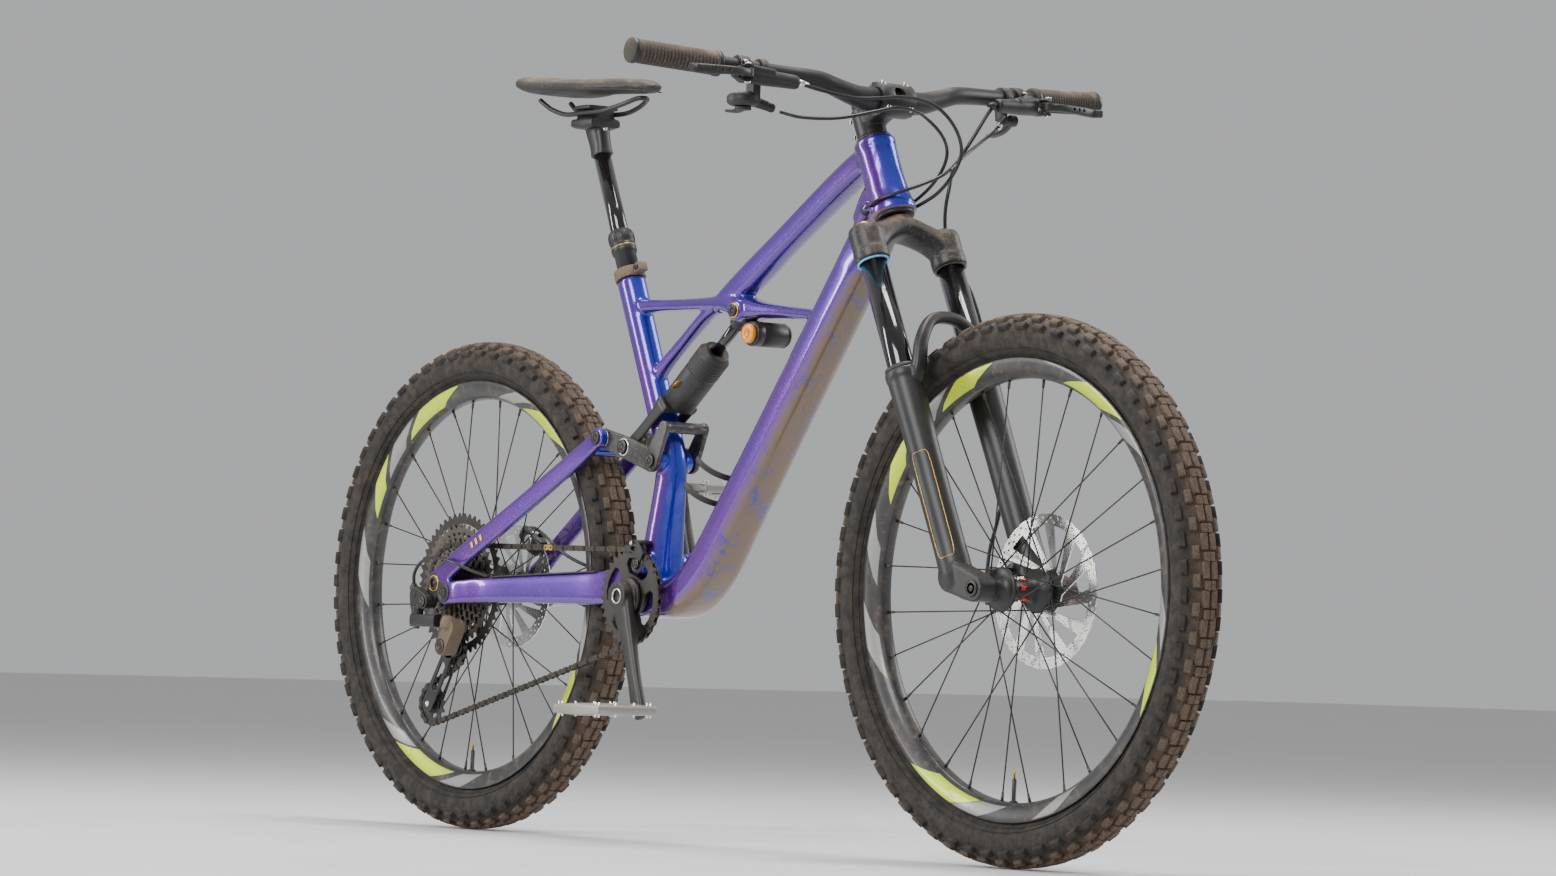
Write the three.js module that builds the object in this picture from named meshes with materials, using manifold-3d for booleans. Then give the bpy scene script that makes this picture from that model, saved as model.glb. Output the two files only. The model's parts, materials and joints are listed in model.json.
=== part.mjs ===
// Full-suspension mountain bike, built as separate named solids in millimetres.
// +X points forwards, +Y to the rider's left, +Z up. The origin is the point on the
// ground under the rear axle, in the bike's centre plane.
import * as THREE from 'three';
import { mergeVertices } from 'three/addons/utils/BufferGeometryUtils.js';
import Module from 'manifold-3d';

const wasm = await Module();
wasm.setup();

// ---------------------------------------------------------------- driving dimensions

const GAP = 0.3;                       // play between pieces that meet
const WHEEL_SIDES = 32;                // facets round a tyre or a rim
const TYRE_RADIUS = 355;
const TYRE_HALF_WIDTH = 33;
const RIM_EDGE_RADIUS = 297;
const RIM_INNER_RADIUS = 271;
const SPOKES = 28;
const SPOKE_RADIUS = 1.1;
const WHEELBASE = 1200;
const REAR_AXLE = { x: 0, z: TYRE_RADIUS };
const FRONT_AXLE = { x: WHEELBASE, z: TYRE_RADIUS };

const HEAD_BOTTOM = { x: 925, z: 847 };  // centre of the head tube's lower end
const HEAD_LENGTH = 113;
const HEAD_ANGLE = 65.5;                 // degrees above the horizontal
const SEAT_TOP = { x: 345, z: 786 };     // centre of the seat tube's upper end
const SEAT_LEAN = 23.2;                  // degrees back from the vertical
const CRANK_AXIS = { x: 432, z: 340 };
const CRANK_LENGTH = 170;
const CRANK_TURN = 23;                   // right arm, degrees forward of straight down

const MAIN_PIVOT = { x: 438, z: 386 };   // chainstay on the frame
const REAR_PIVOT = { x: 40, z: 341 };    // seatstay on the chainstay
const STAY_PIVOT = { x: 340, z: 562 };   // seatstay on the rocker
const YOKE_PIVOT = { x: 388, z: 549 };   // shock yoke on the rocker
const ROCKER_PIVOT = { x: 452, z: 529 }; // rocker on the frame
const SHOCK_EYE = { x: 614, z: 733 };    // shock shaft on the frame
const LINK_PLAY = 4.6;                   // radial room in the two pivots left open

const CHAIN_LINE = -50;                  // Y of the chain, the chainring and the cog in use
const CHAIN_PITCH = 12.7;
const CHAIN_HALF_HEIGHT = 4;
const CHAIN_HALF_WIDTH = 2.3;
const RING_TEETH = 32;
const COG_TEETH = [50, 42, 36, 32, 28, 24, 21, 18, 16, 14, 12, 10];
const COG_IN_USE = 4;
const COG_STEP = 3.2;
const GUIDE_PULLEY = { x: 8, z: 258, teeth: 12 };
const TENSION_PULLEY = { x: -42, z: 180, teeth: 14 };

const FRONT_HUB_HALF = 55;               // half of the distance between the fork dropouts
const REAR_HUB_HALF = 74;
const FORK_OFFSET = 46.2;                // axle ahead of the steering axis
const FORK_REACH = 561.8;                // axle below the head tube, along the steering axis
const LEG_SPREAD = 66;                   // half of the distance between the fork legs
const LEG_SETBACK = 8;                   // fork legs ahead of the steering axis
const STANCHION_RADIUS = 18;
const BAR_HALF = 396;
const BAR_CLAMP = { x: 909, z: 1002 };
const BAR_BEND = { x: 905, y: 120, z: 1020 };
const BAR_END = { x: 866, y: BAR_HALF, z: 1036 };
const GRIP_LENGTH = 132;

// ---------------------------------------------------------------- materials

const material = (color, roughness, metalness) =>
  new THREE.MeshStandardMaterial({ color, roughness, metalness, flatShading: true });

const violetPaint = material(0x5a3fa8, 0.25, 0.4);
const blackPaint = material(0x17181a, 0.55, 0.3);
const blackGloss = material(0x101114, 0.15, 0.6);
const blackPlastic = material(0x1c1c1d, 0.6, 0.0);
const darkSteel = material(0x3a3733, 0.45, 0.9);
const silver = material(0xb5b5b2, 0.3, 1.0);
const greyAlloy = material(0x8b8784, 0.45, 0.9);
const rubber = material(0x3c332b, 0.9, 0.0);
const tyreRubber = material(0x2a2623, 0.95, 0.0);
const hoseBlack = material(0x0d0d0e, 0.5, 0.0);

// ---------------------------------------------------------------- geometry helpers

const v = (x, y, z) => new THREE.Vector3(x, y, z);
const at = (point, y) => v(point.x, y, point.z);
const radians = THREE.MathUtils.degToRad;

function signedVolume(position, faces) {
  let total = 0;
  const corner = (i) => v(position[3 * i], position[3 * i + 1], position[3 * i + 2]);
  for (let i = 0; i < faces.length; i += 3) {
    total += corner(faces[i]).dot(corner(faces[i + 1]).cross(corner(faces[i + 2])));
  }
  return total / 6;
}

// A closed geometry as a manifold solid, with its faces turned outwards.
function toSolid(shape) {
  if (!shape.isBufferGeometry) return shape;
  const bare = new THREE.BufferGeometry();
  bare.setAttribute('position', shape.getAttribute('position').clone());
  if (shape.index) bare.setIndex(shape.index.clone());
  const welded = mergeVertices(bare, 1e-3);
  const position = welded.getAttribute('position').array;
  const faces = [];
  for (let i = 0; i < welded.index.count; i += 3) {
    const [a, b, c] = [0, 1, 2].map((k) => welded.index.getX(i + k));
    if (a !== b && b !== c && c !== a) faces.push(a, b, c);
  }
  if (signedVolume(position, faces) < 0) faces.reverse();
  const mesh = new wasm.Mesh({
    numProp: 3,
    vertProperties: Float32Array.from(position),
    triVerts: Uint32Array.from(faces),
  });
  return new wasm.Manifold(mesh);
}

function toGeometry(solid) {
  if (solid.isBufferGeometry) return solid;
  const mesh = solid.getMesh();
  const geometry = new THREE.BufferGeometry();
  geometry.setAttribute('position', new THREE.BufferAttribute(Float32Array.from(mesh.vertProperties), 3));
  geometry.setIndex(new THREE.BufferAttribute(Uint32Array.from(mesh.triVerts), 1));
  return geometry;
}

const join = (...shapes) => shapes.map(toSolid).reduce((a, b) => a.add(b));
const cut = (shape, ...tools) => tools.map(toSolid).reduce((a, b) => a.subtract(b), toSolid(shape));

// The same shape on the other side of the bike's centre plane.
const mirrored = (shape) => toSolid(toGeometry(toSolid(shape)).scale(1, -1, 1));
const bothSides = (shape) => join(shape, mirrored(shape));

// A straight bar between two points, tapered if a second radius is given.
function rod(from, to, radius, sides = 10, endRadius = radius) {
  const geometry = new THREE.CylinderGeometry(endRadius, radius, from.distanceTo(to), sides);
  geometry.translate(0, from.distanceTo(to) / 2, 0);
  const direction = to.clone().sub(from).normalize();
  geometry.applyQuaternion(new THREE.Quaternion().setFromUnitVectors(v(0, 1, 0), direction));
  return geometry.translate(from.x, from.y, from.z);
}

// A bar across the bike through a point of the side view.
const pin = (point, low, high, radius, sides = 10) => rod(at(point, low), at(point, high), radius, sides);

// A side-view outline given thickness across the bike.
function plate(shape, low, high, holes = 4) {
  const geometry = new THREE.ExtrudeGeometry(shape, {
    depth: high - low, bevelEnabled: false, curveSegments: holes,
  });
  return geometry.rotateX(Math.PI / 2).translate(0, high, 0);
}

const polygon = (points) => new THREE.Shape(points.map(([x, z]) => new THREE.Vector2(x, z)));

// A side-view bar with round ends of two radii.
function link(a, radiusA, b, radiusB, low, high, arcSides = 4) {
  const heading = Math.atan2(b.z - a.z, b.x - a.x);
  const spread = Math.acos((radiusA - radiusB) / Math.hypot(b.x - a.x, b.z - a.z));
  const shape = new THREE.Shape();
  shape.absarc(a.x, a.z, radiusA, heading + spread, heading + 2 * Math.PI - spread, false);
  shape.absarc(b.x, b.z, radiusB, heading - spread, heading + spread, false);
  return plate(shape, low, high, arcSides);
}

// A turned shape round the Y axis from [radius, y] points.
function turned(profile, sides, start = 0) {
  const points = profile.map(([radius, y]) => new THREE.Vector2(radius, y));
  return new THREE.LatheGeometry([...points, points[0]], sides, start);
}

// A skin through rings of rounded-rectangle section. Each station gives its centre,
// its half size along the side direction and its half size across that.
function loft(stations, sides = 8, side = v(0, 1, 0), power = 2.6) {
  const centres = stations.map(([x, y, z]) => v(x, y, z));
  const last = centres.length - 1;
  const position = [];
  const soften = (value) => Math.sign(value) * Math.abs(value) ** (2 / power);
  centres.forEach((centre, i) => {
    const along = centres[Math.min(i + 1, last)].clone().sub(centres[Math.max(i - 1, 0)]).normalize();
    const first = side.clone().addScaledVector(along, -side.dot(along)).normalize();
    const second = along.clone().cross(first);
    for (let k = 0; k < sides; k += 1) {
      const angle = (2 * Math.PI * (k + 0.5)) / sides;
      const point = centre.clone()
        .addScaledVector(first, stations[i][3] * soften(Math.cos(angle)))
        .addScaledVector(second, stations[i][4] * soften(Math.sin(angle)));
      position.push(point.x, point.y, point.z);
    }
  });
  const faces = [];
  for (let i = 0; i < last; i += 1) {
    for (let k = 0; k < sides; k += 1) {
      const [a, b] = [i * sides + k, i * sides + ((k + 1) % sides)];
      faces.push(a, b, b + sides, a, b + sides, a + sides);
    }
  }
  for (let k = 1; k < sides - 1; k += 1) {
    faces.push(0, k + 1, k, last * sides, last * sides + k, last * sides + k + 1);
  }
  const geometry = new THREE.BufferGeometry();
  geometry.setAttribute('position', new THREE.Float32BufferAttribute(position, 3));
  geometry.setIndex(faces);
  return geometry;
}

// A round bar along a smooth curve through points.
function hose(points, radius, steps, sides = 8) {
  const section = Array.from({ length: sides }, (_, k) => {
    const angle = (2 * Math.PI * k) / sides;
    return new THREE.Vector2(radius * Math.cos(angle), radius * Math.sin(angle));
  });
  const path = new THREE.CatmullRomCurve3(points.map(([x, y, z]) => v(x, y, z)), false, 'centripetal');
  return new THREE.ExtrudeGeometry(new THREE.Shape(section), {
    steps, extrudePath: path, bevelEnabled: false,
  });
}

// A box turned about Y, given by its centre, half sizes and angle.
function block(centre, half, turn = 0) {
  const geometry = new THREE.BoxGeometry(2 * half[0], 2 * half[1], 2 * half[2]);
  return geometry.rotateY(radians(turn)).translate(centre.x, centre.y, centre.z);
}

const bike = new THREE.Group();

function add(name, shape, finish, group = bike) {
  const mesh = new THREE.Mesh(toGeometry(toSolid(shape)), finish);
  mesh.name = name;
  group.add(mesh);
}

// ---------------------------------------------------------------- derived places

const seatSlope = v(-Math.sin(radians(SEAT_LEAN)), 0, Math.cos(radians(SEAT_LEAN)));
const onSeatAxis = (distance) => at(SEAT_TOP, 0).addScaledVector(seatSlope, distance);

const shockLine = at(SHOCK_EYE, 0).sub(at(YOKE_PIVOT, 0)).normalize();
const onShockLine = (distance) => at(YOKE_PIVOT, 0).addScaledVector(shockLine, distance);
const shockTilt = (Math.atan2(shockLine.z, shockLine.x) * 180) / Math.PI;

// A point of the straight outer part of the handlebar, by its distance from the centre.
function onBar(distance, sign) {
  const t = (distance - BAR_BEND.y) / (BAR_END.y - BAR_BEND.y);
  return v(
    THREE.MathUtils.lerp(BAR_BEND.x, BAR_END.x, t),
    sign * distance,
    THREE.MathUtils.lerp(BAR_BEND.z, BAR_END.z, t),
  );
}

const pitchRadius = (teeth) => CHAIN_PITCH / (2 * Math.sin(Math.PI / teeth));

// ---------------------------------------------------------------- front triangle

function frontTriangle() {
  const downTube = loft([
    [903, 0, 853, 24, 30], [866, 0, 800, 27, 29], [845, 0, 769, 30, 28], [700, 0, 576, 32, 28],
    [600, 0, 443, 34, 29], [548, 0, 377, 36, 30], [500, 0, 341, 36, 29], [440, 0, 336, 32, 25],
  ], 10);
  const topTube = loft([
    [886, 0, 928, 23, 20], [835, 0, 908, 20, 19], [700, 0, 827, 18, 18], [610, 0, 771, 18, 19],
    [560, 0, 744, 17, 13],
  ]);
  const strut = loft([
    [352, 0, 747, 14, 11], [450, 0, 747, 12, 9], [540, 0, 746, 16, 10], [580, 0, 745, 20, 13],
    [614, 0, 738, 21, 17], [650, 0, 734, 21, 13], [700, 0, 729, 19, 9], [775, 0, 721, 22, 8],
  ]);
  const brace = loft([[545, 0, 740, 13, 8], [500, 0, 713, 11, 7], [460, 0, 684, 10, 8], [410, 0, 645, 13, 10]]);
  const seatTube = loft([
    [345, 0, 786, 19.6, 19.6], [398, 0, 662, 19.6, 19.6], [425, 0, 600, 20, 20], [446, 0, 552, 20, 21],
    [452, 0, 515, 21, 22], [447, 0, 470, 24, 22], [439, 0, 410, 29, 24], [434, 0, 350, 32, 26],
  ], 10, v(0, 1, 0), 2.1);
  const headAxis = v(-Math.cos(radians(HEAD_ANGLE)), 0, Math.sin(radians(HEAD_ANGLE)));
  const onHead = (distance) => at(HEAD_BOTTOM, 0).addScaledVector(headAxis, distance);
  const headTube = join(
    rod(onHead(0), onHead(34), 31, 16, 27.5),
    rod(onHead(33.9), onHead(HEAD_LENGTH), 27.5, 16, 28),
  );
  const portRight = link({ x: 896, z: 850 }, 8, { x: 906, z: 862 }, 7, -35, -20, 4);
  const shell = join(pin(CRANK_AXIS, -33.5, 33.5, 27, 16), pin(CRANK_AXIS, -44, 44, 20.5, 14));
  const mainBarrel = pin(MAIN_PIVOT, -33.5, 33.5, 16, 16);
  const rockerBarrel = pin(ROCKER_PIVOT, -30, 30, 14, 14);
  const shockBoss = pin(SHOCK_EYE, -24, 24, 15, 14);

  const shockSlot = join(
    pin(SHOCK_EYE, -13.3, 13.3, 18.5, 16),
    block(onShockLine(268), [24, 13.3, 17], -shockTilt),
  );
  const crownRoom = rod(onHead(-45), onHead(0), 46, 14);
  const steererBore = rod(onHead(-5), onHead(HEAD_LENGTH + 5), 19.5, 14);
  const seatBore = rod(onSeatAxis(-192), onSeatAxis(8), 16.3, 14);
  const spindleBore = pin(CRANK_AXIS, -50, 50, 16.5, 14);

  const shellParts = join(
    downTube, topTube, strut, brace, seatTube, headTube, bothSides(portRight),
    shell, mainBarrel, rockerBarrel, shockBoss,
  );
  const hollowed = cut(shellParts, shockSlot, crownRoom, steererBore, seatBore, spindleBore);
  const pivotPins = join(
    pin(MAIN_PIVOT, -46, 46, 7),
    pin(ROCKER_PIVOT, -38.6, 38.6, 6.5),
    pin(SHOCK_EYE, -22, 22, 6),
  );
  return join(hollowed, pivotPins);
}

add('front_triangle', frontTriangle(), violetPaint);

// ---------------------------------------------------------------- seat post and saddle

const dropperTube = cut(
  join(
    rod(onSeatAxis(-185), onSeatAxis(56), 15.6, 14),
    rod(onSeatAxis(40), onSeatAxis(74), 18.5, 14),
  ),
  rod(onSeatAxis(-179), onSeatAxis(80), 13.4, 14),
);
add('dropper_lower_tube', dropperTube, blackPaint);

const forwardOfSeat = v(seatSlope.z, 0, -seatSlope.x);
const clampEar = block(onSeatAxis(8.6).addScaledVector(forwardOfSeat, 25), [9, 9, 7], -SEAT_LEAN);
const seatClamp = cut(
  join(rod(onSeatAxis(0.4), onSeatAxis(16), 21.5, 16), clampEar),
  rod(onSeatAxis(-4), onSeatAxis(24), 16.3, 14),
);
add('seat_clamp', seatClamp, blackPaint);

const RAIL_RADIUS = 3.5;
const RAIL_SPREAD = 22;
const CLAMP_TOP = { x: 249, z: 1028 };
const postHead = join(
  rod(onSeatAxis(-8), onSeatAxis(204), 12.7, 14),
  loft([[267.5, 0, 967, 15, 15], [261, 0, 986, 13, 16], [252, 0, 1012, 16, 20]], 10),
  block(v(CLAMP_TOP.x, 0, 1015), [27, 27, 8.6]),
  block(v(CLAMP_TOP.x, 0, 1026), [24, RAIL_SPREAD - RAIL_RADIUS - 1, 8]),
  block(v(CLAMP_TOP.x, 0, 1035.5), [20, 27, 3.4]),
);
add('seatpost_upper', postHead, blackGloss);

const railHalf = [
  [150, 27, 1049], [178, 24, 1036], [208, RAIL_SPREAD, 1028], [249, RAIL_SPREAD, 1028],
  [292, RAIL_SPREAD, 1028], [330, 17, 1032], [358, 9, 1037],
];
const railNose = [[364, 0, 1038]];
const railOther = railHalf.map(([x, y, z]) => [x, -y, z]).reverse();
add('saddle_rails', hose([...railHalf, ...railNose, ...railOther], RAIL_RADIUS, 26), blackPaint);

const saddle = loft([
  [122, 0, 1073, 34, 9], [134, 0, 1072, 58, 13], [160, 0, 1070, 68, 14], [205, 0, 1067, 57, 13],
  [255, 0, 1064, 34, 13], [315, 0, 1062, 22, 14], [368, 0, 1057, 19, 13], [390, 0, 1053, 9, 8],
], 14, v(0, 1, 0), 2.4);
add('saddle', saddle, blackPlastic);

// ---------------------------------------------------------------- fork, in its own axes
// Local +Z runs up the steering axis and local +X forwards, from the head tube's lower end.

const fork = new THREE.Group();
fork.position.copy(at(HEAD_BOTTOM, 0));
fork.rotation.y = -radians(90 - HEAD_ANGLE);
bike.add(fork);

const legPoint = (z, sign = -1) => v(LEG_SETBACK, sign * LEG_SPREAD, z);
const forkAxle = { x: FORK_OFFSET, z: -FORK_REACH };

const crownBridge = loft([
  [LEG_SETBACK, -LEG_SPREAD, -52, 19, 21], [5, -38, -33, 20, 17], [2, 0, -21, 23, 16],
  [5, 38, -33, 20, 17], [LEG_SETBACK, LEG_SPREAD, -52, 19, 21],
], 12, v(1, 0, 0));
const crownClamp = rod(legPoint(-76), legPoint(-26), 23.5, 14);
const stanchion = rod(legPoint(-378), legPoint(-20), STANCHION_RADIUS, 16);
const steerer = rod(v(0, 0, -30), v(0, 0, 176), 14.3, 14);
add('fork_upper', join(crownBridge, bothSides(crownClamp), bothSides(stanchion), steerer), blackGloss, fork);

function forkLowers() {
  const leg = join(
    rod(legPoint(-300), legPoint(-236), 22, 14, 23.5),
    rod(legPoint(-540), legPoint(-299.9), 21, 14, 22),
    link({ x: LEG_SETBACK, z: -528 }, 20, forkAxle, 17, -84, -FRONT_HUB_HALF - GAP),
  );
  const archHalf = [
    [14, -62, -262, 11, 9], [34, -60, -241, 8, 10], [41, -50, -206, 8, 9], [42, -27, -177, 8, 8],
    [42, 0, -170, 8, 8],
  ];
  const archOther = archHalf.slice(0, -1).reverse().map(([x, y, z, a, b]) => [x, -y, z, a, b]);
  const arch = loft([...archHalf, ...archOther], 10, v(1, 0, 0));
  const mountTab = link({ x: -1, z: -496 }, 9, { x: -32, z: -506 }, 8, 54.2, 61);
  const bore = rod(legPoint(-530), legPoint(-230), STANCHION_RADIUS + 0.9, 16);
  const axleBore = pin(forkAxle, -90, 90, 8.2);
  return cut(join(bothSides(leg), arch, mountTab), bothSides(bore), axleBore);
}
add('fork_lowers', forkLowers(), blackPaint, fork);
add('front_axle', pin(forkAxle, -86, 86, 7.5), darkSteel, fork);

// A brake caliper that straddles a rotor. The outline is in the side view round the
// wheel's axle: angle is the caliper's place, from straight ahead towards the top.
function caliper(axle, angle, rotorRadius, low, high, rotorY) {
  const outward = v(Math.cos(radians(angle)), 0, Math.sin(radians(angle)));
  const reach = (distance) => at(axle, (low + high) / 2).addScaledVector(outward, distance);
  const halfWidth = (high - low) / 2;
  const body = block(reach(rotorRadius - 8), [16, halfWidth, 25], -angle);
  const slotCentre = reach(rotorRadius - 19).setY(rotorY);
  return cut(body, block(slotCentre, [22, 3.2, 40], -angle));
}
const FRONT_ROTOR_Y = 40.5;
const FRONT_ROTOR_RADIUS = 100;
const frontCaliper = caliper(forkAxle, 152, FRONT_ROTOR_RADIUS, 26, 53.8, FRONT_ROTOR_Y);
add('front_caliper', frontCaliper, blackPaint, fork);

// ---------------------------------------------------------------- stem and handlebar

const steerTop = at(HEAD_BOTTOM, 0).addScaledVector(v(-0.4147, 0, 0.91), 118);
const steerCap = at(HEAD_BOTTOM, 0).addScaledVector(v(-0.4147, 0, 0.91), 180);
const onSteerer = (distance) => at(HEAD_BOTTOM, 0).addScaledVector(v(-0.4147, 0, 0.91), distance);

// The handlebar's skin; grow adds play all round for the pieces that clamp it.
function handlebar(grow = 0) {
  const half = [
    [BAR_CLAMP.x, 0, BAR_CLAMP.z, 15.9], [BAR_CLAMP.x, 38, BAR_CLAMP.z, 15.9],
    [908, 62, 1005, 14.5], [906, 92, 1013, 13], [BAR_BEND.x, BAR_BEND.y, BAR_BEND.z, 12.2],
    [896, 185, 1023.8, 11.1], [BAR_END.x, BAR_END.y, BAR_END.z, 11.1],
  ];
  const whole = [...half.slice(1).reverse().map(([x, y, z, r]) => [x, -y, z, r]), ...half];
  return loft(whole.map(([x, y, z, r]) => [x, y, z, r + grow, r + grow]), 10, v(1, 0, 0), 2);
}
add('handlebar', handlebar(), blackPaint);
const barPlay = handlebar(0.6);

const faceNormal = v(0.93, 0, 0.37).normalize();
const splitPlane = at(BAR_CLAMP, 0).addScaledVector(faceNormal, 2);
const faceTilt = (-Math.atan2(faceNormal.z, faceNormal.x) * 180) / Math.PI;
const clampRing = pin(BAR_CLAMP, -27, 27, 23, 16);
const stemBody = join(
  rod(onSteerer(117), onSteerer(160), 21, 16),
  rod(onSteerer(159), onSteerer(181), 18, 14, 16.6),
  loft([[868, 0, 980, 19, 17], [890, 0, 992, 21, 15], [BAR_CLAMP.x - 6, 0, BAR_CLAMP.z - 1, 25, 18]], 10),
  clampRing,
);
const facePlateRoom = block(splitPlane.clone().addScaledVector(faceNormal, 30), [30, 60, 60], faceTilt);
const stem = cut(stemBody, facePlateRoom, barPlay, rod(onSteerer(100), onSteerer(176.6), 14.9, 14));
add('stem', stem, blackPaint);
const plateRoom = block(splitPlane.clone().addScaledVector(faceNormal, -29.6), [30, 60, 60], faceTilt);
add('stem_faceplate', cut(pin(BAR_CLAMP, -27, 27, 24, 16), plateRoom, barPlay), blackPaint);

function grip(sign) {
  const inner = onBar(BAR_HALF - GRIP_LENGTH + 4, sign);
  const outer = onBar(BAR_HALF + 4, sign);
  return cut(rod(inner, outer, 16, 14, 16.4), barPlay);
}
add('grip_right', grip(-1), rubber);
add('grip_left', grip(1), rubber);

// ---------------------------------------------------------------- hand controls

const CONTROL_PLACE = 236;   // brake clamp, from the bar's centre
const LEVER_PLACE = 252;     // lever pivot, from the bar's centre

function brakeMaster(sign) {
  const clampAt = onBar(CONTROL_PLACE, sign);
  const clamp = rod(onBar(CONTROL_PLACE + 8, sign), onBar(CONTROL_PLACE - 8, sign), 16, 14);
  const tubeOuter = clampAt.clone().add(v(26, sign * 24, -12));
  const tubeInner = clampAt.clone().add(v(38, sign * -66, -17));
  const tube = rod(tubeOuter, tubeInner, 11, 12, 9.5);
  const neck = block(clampAt.clone().add(v(20, 0, -8)), [12, 8, 7]);
  const lever = leverPivot(sign);
  const fork1 = rod(lever.clone().add(v(-3, 0, -13)), lever.clone().add(v(-3, 0, 13)), 8, 10);
  return cut(join(clamp, tube, neck, fork1), barPlay, leverRoom(sign));
}
function leverPivot(sign) {
  return onBar(LEVER_PLACE, sign).add(v(42, sign * 6, -13));
}
// The cheek-to-cheek space where the blade's knuckle turns.
function leverRoom(sign) {
  const pivot = leverPivot(sign);
  return rod(pivot.clone().add(v(4, 0, -6.5)), pivot.clone().add(v(4, 0, 6.5)), 15, 14);
}
function brakeLever(sign) {
  const pivot = leverPivot(sign).add(v(4, 0, 0));
  const blade = loft([
    [pivot.x, pivot.y - sign * 4, pivot.z, 6, 5.5], [pivot.x + 8, pivot.y + sign * 22, pivot.z, 5, 5.5],
    [pivot.x + 4, pivot.y + sign * 60, pivot.z - 1, 4, 6], [pivot.x - 2, pivot.y + sign * 84, pivot.z - 1, 4, 6],
    [pivot.x + 4, pivot.y + sign * 94, pivot.z - 1, 4, 5],
  ], 8, v(1, 0, 0));
  const knuckle = rod(pivot.clone().add(v(0, 0, -5.6)), pivot.clone().add(v(0, 0, 5.6)), 8, 12);
  return join(blade, knuckle);
}
add('brake_master_right', brakeMaster(-1), blackPaint);
add('brake_master_left', brakeMaster(1), blackPaint);
add('brake_lever_right', brakeLever(-1), blackPaint);
add('brake_lever_left', brakeLever(1), blackPaint);

// Shifter: pod under the bar on the right, with a thumb paddle turning under it.
const shifterAt = onBar(206, -1);
const shifter = cut(
  join(
    rod(onBar(212, -1), onBar(202, -1), 15.5, 14),
    block(shifterAt.clone().add(v(-8, -5, -22)), [9, 6, 12]),
    rod(shifterAt.clone().add(v(-20, -12, -46)), shifterAt.clone().add(v(-20, -12, -30)), 22, 12, 18),
    rod(shifterAt.clone().add(v(-18, 0, -38)), shifterAt.clone().add(v(-8, 35, -49)), 7.5, 10, 4.5),
  ),
  barPlay,
);
add('shifter', shifter, blackPlastic);
const paddlePivot = shifterAt.clone().add(v(-20, -12, -46.4));
const shiftPaddle = join(
  rod(paddlePivot.clone().add(v(0, 0, -5)), paddlePivot.clone().add(v(0, 0, 0)), 11, 12),
  loft([
    [paddlePivot.x, paddlePivot.y, paddlePivot.z - 2.5, 7, 2.4],
    [paddlePivot.x - 26, paddlePivot.y + 8, paddlePivot.z - 4, 8, 2.4],
    [paddlePivot.x - 46, paddlePivot.y + 14, paddlePivot.z - 2, 8, 2.4],
  ], 8),
);
add('shift_paddle', shiftPaddle, blackPlastic);

// Dropper remote: small clamp under the bar on the left, with its own paddle.
const remoteAt = onBar(210, 1);
const remote = cut(
  join(
    rod(onBar(216, 1), onBar(205, 1), 15.5, 14),
    block(remoteAt.clone().add(v(3, -4, -21)), [10, 6, 12]),
    rod(remoteAt.clone().add(v(10, -4, -30)), remoteAt.clone().add(v(22, -26, -44)), 6.5, 10, 4.5),
  ),
  barPlay,
);
add('dropper_remote', remote, blackPlastic);
const remotePivot = remoteAt.clone().add(v(8, 12, -30));
const dropperPaddle = join(
  rod(remotePivot.clone().add(v(0, -4.6, 0)), remotePivot.clone().add(v(0, 5, 0)), 8, 12),
  loft([
    [remotePivot.x - 2, remotePivot.y, remotePivot.z - 2, 4.6, 5],
    [remotePivot.x - 22, remotePivot.y, remotePivot.z - 14, 7, 3],
    [remotePivot.x - 44, remotePivot.y, remotePivot.z - 18, 9, 2.6],
  ], 8),
);
add('dropper_paddle', dropperPaddle, blackPlastic);

// ---------------------------------------------------------------- hoses at the front

const HOSE_RADIUS = 2.5;
const rearBrakeHose = [
  [928, -168, 1009], [934, -140, 1003], [944, -90, 996], [950, -50, 999], [951, -20, 1003], [951, 12, 1003],
  [955, 45, 994], [963, 68, 970], [970, 75, 940], [964, 70, 912], [948, 58, 885], [928, 46, 869], [910, 39, 860],
];
const shiftCable = [
  [887, -168, 974.5], [907, -146, 968], [926, -100, 970], [941, -50, 982], [948, -20, 989], [948, 12, 987],
  [944, 38, 978], [952, 56, 958], [957, 61, 938], [952, 60, 917], [940, 53, 895], [920, 45, 876], [900, 39, 863],
];
const dropperCable = [
  [915, 183, 980.8], [919, 174, 975], [923, 150, 960], [934, 115, 940], [950, 85, 925], [964, 50, 905],
  [960, 15, 889], [948, -12, 878], [928, -32, 867], [906, -39, 856],
];
const frontBrakeHose = [
  [927.5, 166, 1009.4], [924, 157, 996], [914, 146, 970], [908, 132, 945], [914, 110, 922], [920, 98, 896],
  [917, 94, 860], [919, 96, 823], [938, 97, 790], [975, 97, 745], [1012, 96, 665], [1044, 95, 560],
  [1060, 82, 490], [1072, 62, 462], [1080, 46, 450],
];
add('rear_brake_hose', hose(rearBrakeHose, HOSE_RADIUS, 26), hoseBlack);
add('shift_cable', hose(shiftCable, HOSE_RADIUS, 26), hoseBlack);
add('dropper_cable', hose(dropperCable, HOSE_RADIUS, 20), hoseBlack);
add('front_brake_hose', hose(frontBrakeHose, HOSE_RADIUS, 28), hoseBlack);

// ---------------------------------------------------------------- wheels

// Facets are flat on the ground: the radii are those of the flats.
const flat = (profile) => profile.map(([radius, y]) => [radius / Math.cos(Math.PI / WHEEL_SIDES), y]);
const wheelTurn = Math.PI / WHEEL_SIDES;

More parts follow.
